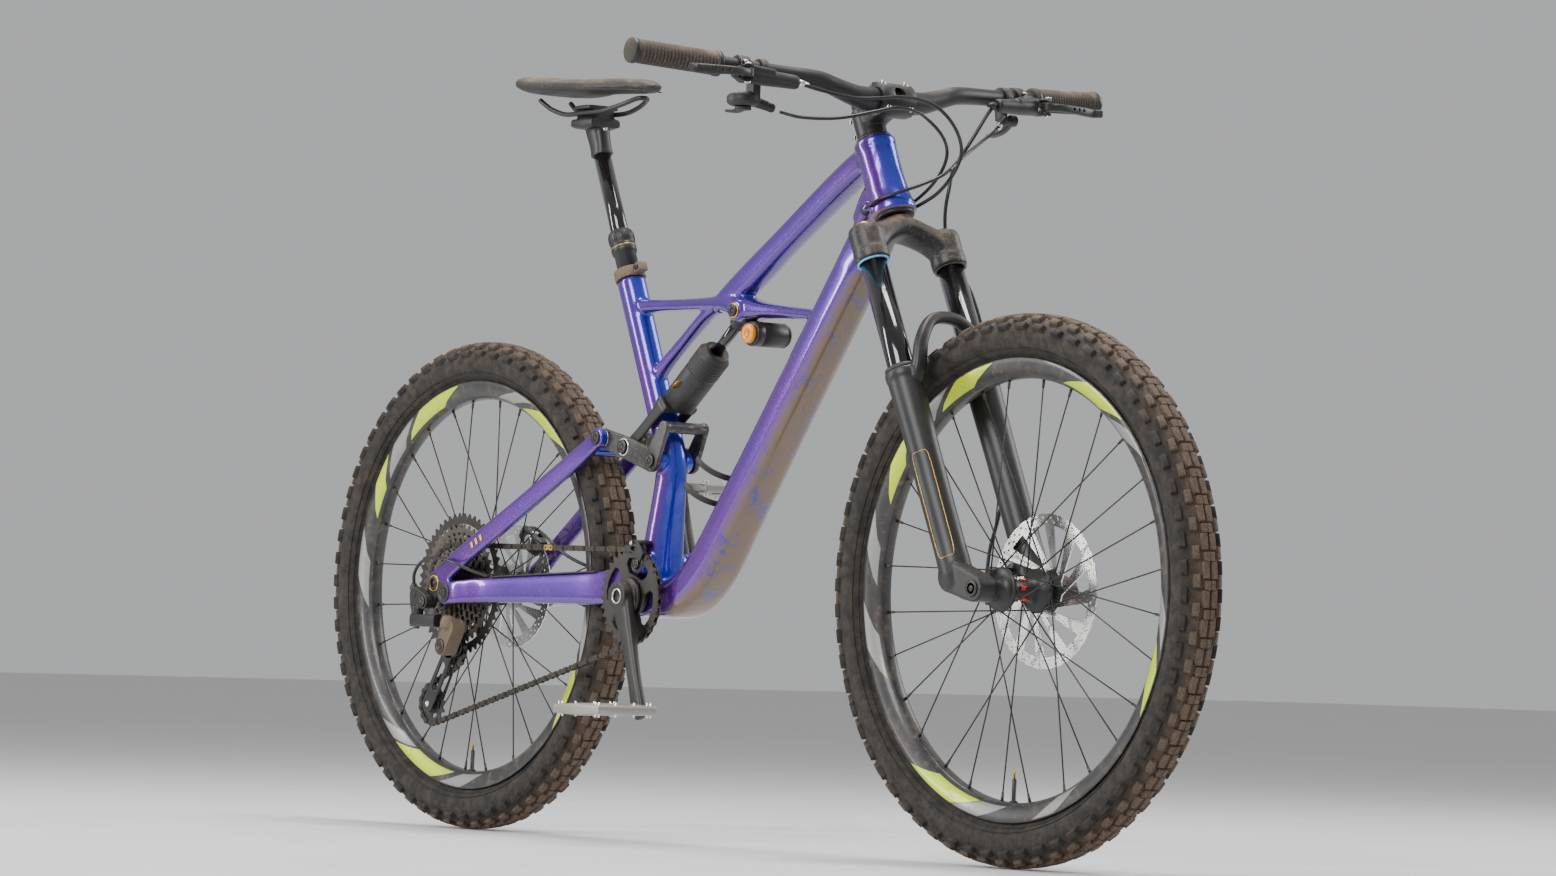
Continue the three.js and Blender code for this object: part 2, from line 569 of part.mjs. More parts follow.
// A closed section from its half on the +Y side, listed from the inside outwards.
const bothEdges = (half) => [...half.map(([r, y]) => [r, -y]), ...half.slice().reverse()];
const tyreProfile = [
  ...bothEdges([[290, 14.6], [298.5, 14.6], [310, 29], [329, TYRE_HALF_WIDTH], [TYRE_RADIUS, 12]]),
  ...bothEdges([[290, 11], [301, 11], [324, 27], [347, 10]]).reverse(),
];
const rimProfile = bothEdges([
  [RIM_INNER_RADIUS, 5], [281, 17], [RIM_EDGE_RADIUS, 19], [RIM_EDGE_RADIUS, 15], [288.5, 15],
]);

function spokes(flangeLeft, flangeRight, flangeRadius) {
  const turns = Array.from({ length: SPOKES }, (_, i) => i);
  return turns.map((i) => {
    const onLeft = i % 2 === 0;
    const pull = Math.floor(i / 2) % 2 ? 1 : -1;
    const rimAngle = (2 * Math.PI * i) / SPOKES;
    const hubAngle = rimAngle + pull * radians(66);
    const flangeY = onLeft ? flangeLeft : flangeRight;
    const start = v(flangeRadius * Math.cos(hubAngle), flangeY + 2.4 * pull, flangeRadius * Math.sin(hubAngle));
    const end = v(270.5 * Math.cos(rimAngle), onLeft ? 2 : -2, 270.5 * Math.sin(rimAngle));
    return rod(start, end, SPOKE_RADIUS, 3);
  });
}

// A rotor disc with slanted windows between its arms.
function rotor(radius, y) {
  const shape = new THREE.Shape();
  shape.absarc(0, 0, radius, 0, 2 * Math.PI, false);
  const bore = new THREE.Path();
  bore.absarc(0, 0, 13, 0, 2 * Math.PI, true);
  shape.holes.push(bore);
  const arms = 8;
  for (let i = 0; i < arms; i += 1) {
    const turn = (2 * Math.PI * i) / arms;
    const corner = (r, angle) => new THREE.Vector2(
      r * Math.cos(turn + radians(angle)), r * Math.sin(turn + radians(angle)));
    const outer = radius - 17;
    shape.holes.push(new THREE.Path([
      corner(34, 10), corner(34, 38), corner(outer, 70), corner(outer, 52), corner(outer, 34),
    ]));
  }
  return plate(shape, y - 0.9, y + 0.9, 14);
}

function wheel(name, axle, hubProfile, flanges, rotorRadius, rotorY) {
  const group = new THREE.Group();
  group.position.copy(at(axle, 0));
  bike.add(group);
  add(`${name}_tyre`, turned(flat(tyreProfile), WHEEL_SIDES, wheelTurn), tyreRubber, group);
  add(`${name}_rim`, turned(flat(rimProfile), WHEEL_SIDES, wheelTurn), blackPaint, group);
  add(`${name}_hub`, join(turned(hubProfile, 14), ...spokes(...flanges)), blackPaint, group);
  add(`${name}_rotor`, rotor(rotorRadius, rotorY), silver, group);
}

const frontHub = [
  [8.4, -54.7], [12, -54.7], [12, -40], [28, -36], [28, -32], [14, -26],
  [14, 18], [28, 24], [28, 28], [20, 30], [20, 39], [12, 39.2], [12, 54.7], [8.4, 54.7],
];
wheel('front', FRONT_AXLE, frontHub, [26, -34, 26], FRONT_ROTOR_RADIUS, FRONT_ROTOR_Y);

const REAR_ROTOR_Y = 59.5;
const REAR_ROTOR_RADIUS = 90;
const CASSETTE_BORE = 16;
const rearHub = [
  [7, -73.7], [12, -73.7], [CASSETTE_BORE - 1.2, -72], [CASSETTE_BORE - 1.2, -34.5], [30, -31.5], [30, -24], [16, -18],
  [16, 26], [28, 34], [28, 38], [20, 41], [20, 58], [12, 58.2], [12, 73.7], [7, 73.7],
];
wheel('rear', REAR_AXLE, rearHub, [36, -27, 27], REAR_ROTOR_RADIUS, REAR_ROTOR_Y);

// ---------------------------------------------------------------- drivetrain

const cogY = (i) => CHAIN_LINE + (COG_IN_USE - i) * COG_STEP;
function cassette() {
  const profile = [[CASSETTE_BORE, cogY(0) + COG_STEP / 2 - 0.2]];
  COG_TEETH.forEach((teeth, i) => {
    const inUse = i === COG_IN_USE;
    const radius = inUse ? pitchRadius(teeth) - CHAIN_HALF_HEIGHT - 1.8 : pitchRadius(teeth) + 2;
    const room = 1.2;
    const inner = cogY(i) + COG_STEP / 2 + (inUse ? room : 0);
    const outer = cogY(i) - COG_STEP / 2 + (i === COG_IN_USE - 1 ? room : 0);
    profile.push([radius, Math.min(inner, cogY(0) + COG_STEP / 2 - 0.2)], [radius, outer]);
  });
  profile.push([CASSETTE_BORE, cogY(COG_TEETH.length - 1) - COG_STEP / 2]);
  return turned(profile, 16);
}
const rearAxleGroup = new THREE.Group();
rearAxleGroup.position.copy(at(REAR_AXLE, 0));
bike.add(rearAxleGroup);
add('cassette', cassette(), darkSteel, rearAxleGroup);

// The chain's loop round wheels of the side view. Each wheel gives its centre, its
// radius and the way the chain turns round it: +1 clockwise in the rider's-right view.
function chainLoop(wheels, step = radians(20)) {
  const points = [];
  wheels.forEach((now, i) => {
    const before = wheels[(i + wheels.length - 1) % wheels.length];
    const after = wheels[(i + 1) % wheels.length];
    const enter = tangentAngle(before, now).end;
    const leave = tangentAngle(now, after).start;
    let sweep = leave - enter;
    while (sweep * now.sense > 0) sweep -= now.sense * 2 * Math.PI;
    while (sweep * now.sense <= -2 * Math.PI) sweep += now.sense * 2 * Math.PI;
    const count = Math.max(2, Math.ceil(Math.abs(sweep) / step));
    for (let k = 0; k <= count; k += 1) {
      const angle = enter + (sweep * k) / count;
      points.push({
        x: now.x + now.radius * Math.cos(angle), z: now.z + now.radius * Math.sin(angle),
        nx: now.sense * Math.cos(angle), nz: now.sense * Math.sin(angle),
      });
    }
  });
  return points;
}

// Angles at which a straight run leaves one wheel and meets the next.
function tangentAngle(from, to) {
  const heading = Math.atan2(to.z - from.z, to.x - from.x);
  const distance = Math.hypot(to.x - from.x, to.z - from.z);
  const lean = Math.acos((from.radius * from.sense - to.radius * to.sense) / distance);
  const normal = heading + lean;
  return {
    start: from.sense > 0 ? normal : normal + Math.PI,
    end: to.sense > 0 ? normal : normal + Math.PI,
  };
}

const chainWheels = [
  { ...CRANK_AXIS, radius: pitchRadius(RING_TEETH), sense: 1 },
  { ...TENSION_PULLEY, radius: pitchRadius(TENSION_PULLEY.teeth), sense: 1 },
  { ...GUIDE_PULLEY, radius: pitchRadius(GUIDE_PULLEY.teeth), sense: -1 },
  { ...REAR_AXLE, radius: pitchRadius(COG_TEETH[COG_IN_USE]), sense: 1 },
];

function chain() {
  const loop = chainLoop(chainWheels);
  const offset = (amount) => loop.map((p) => new THREE.Vector2(p.x + amount * p.nx, p.z + amount * p.nz));
  const shape = new THREE.Shape(offset(CHAIN_HALF_HEIGHT));
  shape.holes.push(new THREE.Path(offset(-CHAIN_HALF_HEIGHT).reverse()));
  return plate(shape, CHAIN_LINE - CHAIN_HALF_WIDTH, CHAIN_LINE + CHAIN_HALF_WIDTH);
}
add('chain', chain(), darkSteel);

function chainring() {
  const shape = new THREE.Shape();
  shape.absarc(0, 0, pitchRadius(RING_TEETH) - CHAIN_HALF_HEIGHT - 1.8, 0, 2 * Math.PI, false);
  const bore = new THREE.Path();
  bore.absarc(0, 0, 22, 0, 2 * Math.PI, true);
  shape.holes.push(bore);
  const windowCorners = [[33, -26], [50, -30], [52, -10], [52, 10], [50, 30], [33, 26], [30, 0]];
  for (let i = 0; i < 4; i += 1) {
    const corners = windowCorners.map(([radius, angle]) => {
      const turn = radians(90 * i + 45 + angle);
      return new THREE.Vector2(radius * Math.cos(turn), radius * Math.sin(turn));
    });
    shape.holes.push(new THREE.Path(corners));
  }
  return plate(shape, CHAIN_LINE - 1.6, CHAIN_LINE + 1.6, 12);
}

// Cranks, built with the right arm straight down and then turned.
const crank = new THREE.Group();
crank.position.copy(at(CRANK_AXIS, 0));
crank.rotation.y = -radians(CRANK_TURN);
bike.add(crank);
add('chainring', chainring(), darkSteel, crank);

const SPINDLE_RADIUS = 14.5;
const PEDAL_SPINDLE = 5;
const crankArm = (sign) => join(
  loft([
    [0, sign * 66, 6, 8, 18], [0, sign * 67, -22, 8, 17], [0, sign * 70, -70, 7.5, 13],
    [0, sign * 75, -120, 6.5, 11.5], [0, sign * 79, -CRANK_LENGTH - 13, 6, 12],
  ], 10),
  rod(v(0, sign * 56, 0), v(0, sign * 76, 0), 20, 14),
  rod(v(0, sign * 78, -CRANK_LENGTH), v(0, sign * 176, -CRANK_LENGTH), PEDAL_SPINDLE, 10),
);
const spider = join(rod(v(0, -58, 0), v(0, -52.2, 0), 26, 14), rod(v(0, -53, 0), v(0, -45, 0), 21, 14));
const spindle = rod(v(0, -56, 0), v(0, 54, 0), SPINDLE_RADIUS, 14);
add('crank_arm_right', join(crankArm(-1), spider, spindle), blackPaint, crank);
const leftArm = cut(crankArm(1), rod(v(0, 50, 0), v(0, 62, 0), SPINDLE_RADIUS + 1, 14));
leftArmGroup().rotation.y = Math.PI;
add('crank_arm_left', leftArm, blackPaint, crank.children.at(-1));

// The left arm points the other way: half a turn about the crank axis.
function leftArmGroup() {
  const group = new THREE.Group();
  crank.add(group);
  return group;
}

// Flat pedals stay level while the arms are turned.
function pedal(sign) {
  const shape = polygon([
    [-50, -8], [-46, -9], [46, -9], [50, -8], [50, 6], [46, 9], [-46, 9], [-50, 6],
  ]);
  const body = plate(shape, 0, 100);
  const windows = [-30, 30].map((x) => block(v(x, 50, 0), [11, 38, 20]));
  const bore = rod(v(0, -5, 0), v(0, 94, 0), PEDAL_SPINDLE + 0.5, 10);
  const shaped = cut(body, ...windows, bore);
  return sign > 0 ? shaped : mirrored(shaped);
}
function addPedal(name, sign) {
  const direction = sign < 0 ? 1 : -1;
  const group = new THREE.Group();
  group.position.set(
    CRANK_AXIS.x + direction * CRANK_LENGTH * Math.sin(radians(CRANK_TURN)),
    sign * 88,
    CRANK_AXIS.z - direction * CRANK_LENGTH * Math.cos(radians(CRANK_TURN)),
  );
  bike.add(group);
  add(name, pedal(sign), greyAlloy, group);
}
addPedal('pedal_right', -1);
addPedal('pedal_left', 1);

const guidePath = [
  [438, 402], [430, 400], [424, 409], [430, 417], [444, 418], [452, 412], [462, 398], [452, 396],
];
const guideInner = [[425, 408], [428, 404], [458, 404], [452, 412], [444, 418], [430, 417]];
add('chain_guide', join(
  plate(polygon(guidePath), CHAIN_LINE - 7, CHAIN_LINE - 4.2),
  plate(polygon(guideInner), CHAIN_LINE + 4.2, CHAIN_LINE + 7),
  plate(polygon([[424, 410], [452, 413], [444, 418.5], [430, 417.5]]), CHAIN_LINE - 7, CHAIN_LINE + 18),
), blackPlastic);

// ---------------------------------------------------------------- rear suspension

function chainstay() {
  const arm = loft([
    [438, -40, 386, 5.6, 14], [412, -40.2, 374, 5.6, 19], [372, -40.5, 354, 5.5, 24], [338, -42.4, 350, 6, 23],
    [300, -47, 349, 6.6, 22], [200, -59, 347, 7, 19.5], [118, -70, 345.5, 7, 18], [78, -81, 344, 6.5, 17],
    [58, -89.3, 342, 4.7, 16], [40, -89.3, 341, 4.6, 15],
  ]);
  const frontBoss = pin(MAIN_PIVOT, -45.6, -34, 16, 14);
  const rearBoss = pin(REAR_PIVOT, -94, -84.4, 16, 14);
  const side = join(arm, frontBoss, rearBoss);
  const bridge = plate(polygon([[367, 342], [396, 350], [400, 378], [382, 384], [368, 374]]), -41, 41);
  const bores = join(pin(MAIN_PIVOT, -60, -30, 7.7), pin(REAR_PIVOT, -98, -80, 7.3));
  return cut(join(bothSides(side), bridge), bothSides(bores));
}
add('chainstay', chainstay(), violetPaint);

const HANGER = { x: -9, z: 328 };
function seatstay() {
  const arm = loft([
    [10, -79.4, 362, 5, 14], [40, -78.6, 382, 5, 15], [80, -73, 407, 6, 15], [180, -60, 466, 6, 14.5],
    [280, -48, 526, 6, 14], [318, -44.8, 549, 5.8, 13], [340, -44.6, 562, 5.6, 13],
  ]);
  const dropout = link(REAR_AXLE, 19, REAR_PIVOT, 15, -84, -REAR_HUB_HALF - GAP);
  const pins = join(pin(REAR_PIVOT, -93.6, -80, 6.5), pin(STAY_PIVOT, -46, -31, 5));
  const boss = pin(STAY_PIVOT, -50.4, -38.6, 13.5, 14);
  const side = join(arm, dropout, boss, pins);
  const hanger = link(REAR_AXLE, 15, HANGER, 9, -84, -77);
  const bridge = rod(v(321, -46, 544), v(321, 46, 544), 7, 10);
  return cut(join(bothSides(side), hanger, bridge), bothSides(pin(REAR_AXLE, -90, -70, 6.7)));
}
add('seatstay', seatstay(), violetPaint);
add('rear_axle', pin(REAR_AXLE, -86, 88, 6), darkSteel);

const rearCaliper = caliper(REAR_AXLE, 54, REAR_ROTOR_RADIUS, 47, 64.8, REAR_ROTOR_Y);
add('rear_caliper', rearCaliper, blackPaint);
const rearBrakeLine = [
  [84, 52, 425], [104, 40, 424], [140, 42, 404], [190, 48, 384], [250, 46, 377], [310, 40, 380],
  [350, 38, 388], [378, 37, 394], [404, 30, 402],
];
add('rear_brake_line', hose(rearBrakeLine, HOSE_RADIUS, 18), hoseBlack);

const HOOP = { x: 478, z: 575 };
function rockerLink() {
  const inner = -30.6;
  const outer = -38;
  const side = join(
    link(STAY_PIVOT, 13, YOKE_PIVOT, 15, outer, inner),
    link(YOKE_PIVOT, 15, ROCKER_PIVOT, 16, outer, inner),
    link(ROCKER_PIVOT, 15, HOOP, 9, outer, inner),
    link(STAY_PIVOT, 10, ROCKER_PIVOT, 13, outer, inner),
  );
  const bores = join(
    pin(STAY_PIVOT, -45, -25, 5 + LINK_PLAY, 14),
    pin(YOKE_PIVOT, -45, -25, 5 + LINK_PLAY, 14),
    pin(ROCKER_PIVOT, -45, -25, 7.2),
  );
  return join(cut(bothSides(side), bothSides(bores)), rod(at(HOOP, -34), at(HOOP, 34), 8, 12));
}
add('rocker_link', rockerLink(), blackPaint);

function shockYoke() {
  const shoulder = onShockLine(90);
  const arm = link(YOKE_PIVOT, 12, { x: shoulder.x, z: shoulder.z }, 9, -29, -22.4);
  const yokePin = pin(YOKE_PIVOT, -37.6, -23, 5);
  const bridge = block(onShockLine(93.6), [5.6, 29, 12], -shockTilt);
  return join(bothSides(join(arm, yokePin)), bridge);
}
add('shock_yoke', shockYoke(), blackPaint);

const shockCan = cut(
  join(
    rod(onShockLine(100), onShockLine(190), 24, 16),
    rod(onShockLine(189.9), onShockLine(207), 20, 16, 18),
  ),
  rod(onShockLine(140), onShockLine(212), 9, 12),
);
add('shock_can', shockCan, blackPlastic);

const RESERVOIR = { x: 651, z: 700 };
const shockDamper = cut(
  join(
    rod(onShockLine(196), onShockLine(280), 8, 12),
    rod(onShockLine(264), onShockLine(280), 11.5, 12),
    pin(SHOCK_EYE, -12.4, 12.4, 13.5, 14),
    loft([[612, 0, 722, 9, 9], [630, 0, 708, 9, 9], [646, 0, 702, 9, 10]], 8),
    pin(RESERVOIR, -22, 36, 17, 14),
    pin(RESERVOIR, -30, -21.9, 13, 12),
  ),
  pin(SHOCK_EYE, -20, 20, 6.7),
);
add('shock_damper', shockDamper, blackPaint);

// ---------------------------------------------------------------- derailleur

const BODY_TOP = { x: -30, z: 338 };
const LINK_REAR = { x: -28, y: -92 };
const LINK_FRONT = { x: 32, y: -92 };
const CAGE_PIVOT = { x: 26, z: 264 };

const derailleurBody = join(
  link(HANGER, 11, BODY_TOP, 12, -98, -84.4),
  link(BODY_TOP, 12, { x: -28, z: 323.4 }, 12, -98, -86),
);
add('derailleur_body', derailleurBody, blackPaint);

const derailleurLink = loft([
  [LINK_REAR.x - 8, LINK_REAR.y, 300.8, 8, 9.6], [2, -92, 300.8, 7, 8.5],
  [LINK_FRONT.x - 8, LINK_FRONT.y, 300.8, 7, 8.5],
]);
add('derailleur_link', derailleurLink, blackPaint);

const derailleurKnuckle = join(
  link({ x: 44, z: 292 }, 13, CAGE_PIVOT, 13, -88, -64),
  loft([[36, -92, 300, 6, 9], [46, -84, 298, 8, 10], [46, -76, 294, 8, 10]], 8, v(1, 0, 0)),
);
add('derailleur_knuckle', derailleurKnuckle, darkSteel);

function derailleurCage() {
  const armOuter = -60.4;
  const outerPlate = join(
    link(CAGE_PIVOT, 12, GUIDE_PULLEY, 11, armOuter, armOuter + 3),
    link(GUIDE_PULLEY, 11, TENSION_PULLEY, 12, armOuter, armOuter + 3),
  );
  const innerPlate = link(GUIDE_PULLEY, 7, TENSION_PULLEY, 12, -44.4, -42.6);
  const pulleyPins = [GUIDE_PULLEY, TENSION_PULLEY].map((p) => pin(p, -59, -43, 3, 8));
  const pivotPin = pin(CAGE_PIVOT, -63.7, armOuter, 7, 10);
  return join(outerPlate, innerPlate, pivotPin, ...pulleyPins);
}
add('derailleur_cage', derailleurCage(), blackPaint);

function pulley(place, thickness) {
  const radius = pitchRadius(place.teeth) - CHAIN_HALF_HEIGHT - 1;
  const disc = pin(place, CHAIN_LINE - thickness / 2, CHAIN_LINE + thickness / 2, radius, 14);
  return cut(disc, pin(place, -60, -40, 3.6, 8));
}
add('guide_pulley', pulley(GUIDE_PULLEY, 5), blackPlastic);
add('tension_pulley', pulley(TENSION_PULLEY, 5), blackPlastic);

const shiftCableRear = [
  [66, -96, 386], [40, -97, 390], [10, -97, 391], [-18, -96, 384], [-36, -94, 368], [-37, -93, 352],
];
add('shift_cable_rear', hose(shiftCableRear, HOSE_RADIUS, 14), hoseBlack);

// ---------------------------------------------------------------- bottle cage

// A strip on the down tube with two pairs of curved arms that hold the bottle.
const BOTTLE_RADIUS = 39;
const cageNormal = v(-0.8, 0, 0.6);
function cageArms(x, z) {
  const centre = v(x, 0, z).addScaledVector(cageNormal, BOTTLE_RADIUS);
  const arm = [0, 25, 50, 75, 100].map((turn) => {
    const point = centre.clone().addScaledVector(cageNormal, -BOTTLE_RADIUS * Math.cos(radians(turn)));
    return [point.x, BOTTLE_RADIUS * Math.sin(radians(turn)), point.z];
  });
  const other = arm.slice(1).reverse().map(([px, py, pz]) => [px, -py, pz]);
  return hose([...other, ...arm], 3, 20);
}
const cageBase = loft([[560, 0, 455, 10, 3], [590, 0, 495, 10, 3], [616, 0, 530, 9, 3]]);
add('bottle_cage', join(cageBase, cageArms(570, 468.5), cageArms(596, 503.5)), blackPlastic);

export default bike;
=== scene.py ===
import json
import math

import bmesh
import bpy
import numpy as np
from mathutils import Matrix, Vector


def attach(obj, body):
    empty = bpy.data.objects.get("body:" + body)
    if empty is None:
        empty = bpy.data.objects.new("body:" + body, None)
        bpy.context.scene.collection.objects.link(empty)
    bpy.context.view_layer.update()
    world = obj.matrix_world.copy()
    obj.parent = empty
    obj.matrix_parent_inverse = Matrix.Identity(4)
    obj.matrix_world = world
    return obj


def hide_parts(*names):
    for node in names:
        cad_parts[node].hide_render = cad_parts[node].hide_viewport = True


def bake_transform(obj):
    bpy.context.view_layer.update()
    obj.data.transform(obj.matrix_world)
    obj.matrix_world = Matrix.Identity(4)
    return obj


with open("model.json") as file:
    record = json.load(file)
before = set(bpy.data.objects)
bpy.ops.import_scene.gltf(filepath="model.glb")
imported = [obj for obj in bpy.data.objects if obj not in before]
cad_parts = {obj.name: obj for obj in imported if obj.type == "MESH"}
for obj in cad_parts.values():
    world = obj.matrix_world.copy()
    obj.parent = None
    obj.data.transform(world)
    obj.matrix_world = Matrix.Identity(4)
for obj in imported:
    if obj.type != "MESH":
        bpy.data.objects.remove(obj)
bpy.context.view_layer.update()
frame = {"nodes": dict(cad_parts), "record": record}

MM = 0.001

# Driving dimensions, in millimetres, in the frame's own axes.
REAR = (0, 355)
FRONT = (1200, 355)
CRANK = (432, 340)
MAIN_PIVOT = (438, 386)
REAR_PIVOT = (40, 341)
STAY_PIVOT = (340, 562)
YOKE_PIVOT = (388, 549)
ROCKER_PIVOT = (452, 529)
SHOCK_EYE = (614, 733)
HEAD = Vector((925, 0, 847))
HEAD_UP = Vector((-0.4147, 0, 0.91))
HEAD_AHEAD = Vector((0.91, 0, 0.4147))
SEAT = Vector((345, 0, 786))
SEAT_UP = Vector((-0.3939, 0, 0.9191))
SHOCK_UP = Vector((0.7756, 0, 0.6314)).normalized()
SHOCK_TURN = -39.1  # degrees about Y, so that a block lies along the shock
CHAIN_Y = -50
CHAIN_PITCH = 12.7
CRANK_LENGTH = 170
CRANK_TURN = math.radians(23)
LEG_AHEAD = 8
LEG_APART = 66
SPOKES = 28
COG_TEETH = (50, 42, 36, 32, 28, 24, 21, 18, 16, 14, 12, 10)
COG_STEP = 3.2
RUNNING_COG = 4  # the cog in COG_TEETH that the chain sits on
GUIDE = (8, 258)
TENSION = (-42, 180)
CAGE_PIVOT = (26, 264)
SIDES = ((-1, "right"), (1, "left"))


def at(place, y):
    return Vector((place[0], y, place[1]))


def on_seat(distance):
    return SEAT + SEAT_UP * distance


def on_shock(distance):
    return at(YOKE_PIVOT, 0) + SHOCK_UP * distance


def in_fork(x, y, z):
    """A point of the fork's own axes: x ahead of the steering axis, z up along it."""
    return HEAD + HEAD_AHEAD * x + HEAD_UP * z + Vector((0, y, 0))


def in_leg(side, z):
    """A point on the centre line of one fork leg."""
    return in_fork(LEG_AHEAD, side * LEG_APART, z)


def beside(place, shift, *sizes):
    """A loft station at place plus shift."""
    return (*(place + Vector(shift)), *sizes)


def polar(centre, radius, degrees):
    angle = math.radians(degrees)
    return (centre[0] + radius * math.cos(angle), centre[1] + radius * math.sin(angle))


# ------------------------------------------------------------------ materials


class Paint:
    """A node material built step by step. Most methods return a socket to feed the next."""

    def __init__(self, name, rough=0.5, metal=0.0, coat=0.0, coat_rough=0.05, specular=0.5):
        self.material = bpy.data.materials.new(name)
        self.material.use_nodes = True
        self.tree = self.material.node_tree
        self.shader = self.tree.nodes["Principled BSDF"]
        self.set("Roughness", rough)
        self.set("Metallic", metal)
        self.set("Coat Weight", coat)
        self.set("Coat Roughness", coat_rough)
        self.set("Specular IOR Level", specular)

    def set(self, name, value):
        socket = self.shader.inputs[name]
        if isinstance(value, bpy.types.NodeSocket):
            self.tree.links.new(value, socket)
        elif hasattr(value, "__len__"):
            socket.default_value = (*value[:3], 1)
        else:
            socket.default_value = value

    def node(self, kind, inputs=(), **settings):
        node = self.tree.nodes.new(kind)
        for key, value in settings.items():
            setattr(node, key, value)
        for key, value in dict(inputs).items():
            if isinstance(value, bpy.types.NodeSocket):
                self.tree.links.new(value, node.inputs[key])
            else:
                node.inputs[key].default_value = value
        return node

    def place(self):
        return self.node("ShaderNodeTexCoord").outputs["Object"]

    def noise(self, scale, detail=4.0, rough=0.6, stretch=(1, 1, 1)):
        scaled = self.node(
            "ShaderNodeVectorMath", {0: self.place(), 1: stretch}, operation="MULTIPLY"
        )
        inputs = {"Vector": scaled.outputs[0], "Scale": scale, "Detail": detail, "Roughness": rough}
        return self.node("ShaderNodeTexNoise", inputs).outputs["Fac"]

    def step(self, value, low, high):
        inputs = {"Value": value, "From Min": low, "From Max": high}
        return self.node("ShaderNodeMapRange", inputs, interpolation_type="SMOOTHSTEP").outputs[0]

    def math(self, operation, a, b=0.0):
        return self.node("ShaderNodeMath", {0: a, 1: b}, operation=operation).outputs[0]

    def plus(self, a, b):
        return self.math("ADD", a, b)

    def times(self, a, b):
        return self.math("MULTIPLY", a, b)

    def clamped(self, value):
        return self.node("ShaderNodeClamp", {0: value}).outputs[0]

    def mix(self, amount, a, b):
        inputs = {0: amount}
        for key, value in ((6, a), (7, b)):
            inputs[key] = value if isinstance(value, bpy.types.NodeSocket) else (*value[:3], 1)
        return self.node("ShaderNodeMix", inputs, data_type="RGBA").outputs[2]

    def blend(self, amount, a, b):
        return self.node("ShaderNodeMix", {0: amount, 2: a, 3: b}).outputs[0]

    def normal(self, axis):
        geometry = self.node("ShaderNodeNewGeometry")
        return self.node("ShaderNodeSeparateXYZ", {0: geometry.outputs["Normal"]}).outputs[axis]

    def position(self, axis):
        return self.node("ShaderNodeSeparateXYZ", {0: self.place()}).outputs[axis]

    def bump(self, height, strength=0.3, distance=0.001):
        inputs = {"Height": height, "Strength": strength, "Distance": distance}
        self.set("Normal", self.node("ShaderNodeBump", inputs).outputs[0])


DUST = (0.26, 0.185, 0.12)


def worn(name, colour, rough, metal=0.0, dust=0.3, scratch=0.3, coat=0.0, edge=None, bump=0.12):
    """A used surface: slight colour drift, fine scratches, specks and dust lying on top."""
    paint = Paint(name, rough, metal, coat)
    drift = paint.step(paint.noise(14), 0.35, 0.7)
    lighter = edge or tuple(min(1, c * 1.7 + 0.012) for c in colour)
    base = paint.mix(paint.times(drift, 0.35), colour, lighter)
    lines = paint.step(paint.noise(320, 2, 0.5, (1, 0.15, 1)), 0.62, 0.72)
    base = paint.mix(paint.times(lines, scratch), base, lighter)
    facing_up = paint.step(paint.normal("Z"), 0.1, 0.95)
    patches = paint.step(paint.noise(38, 6, 0.7), 0.42, 0.72)
    specks = paint.step(paint.noise(420, 3, 0.6), 0.60, 0.68)
    lying = paint.times(facing_up, paint.plus(patches, 0.25))
    amount = paint.plus(paint.times(lying, dust), paint.times(specks, dust * 0.8))
    amount = paint.clamped(amount)
    paint.set("Base Color", paint.mix(amount, base, DUST))
    paint.set("Roughness", paint.blend(amount, rough, 0.9))
    if metal:
        paint.set("Metallic", paint.blend(amount, metal, 0.0))
    paint.bump(paint.plus(paint.noise(500, 3), amount), bump, 0.0004)
    return paint.material


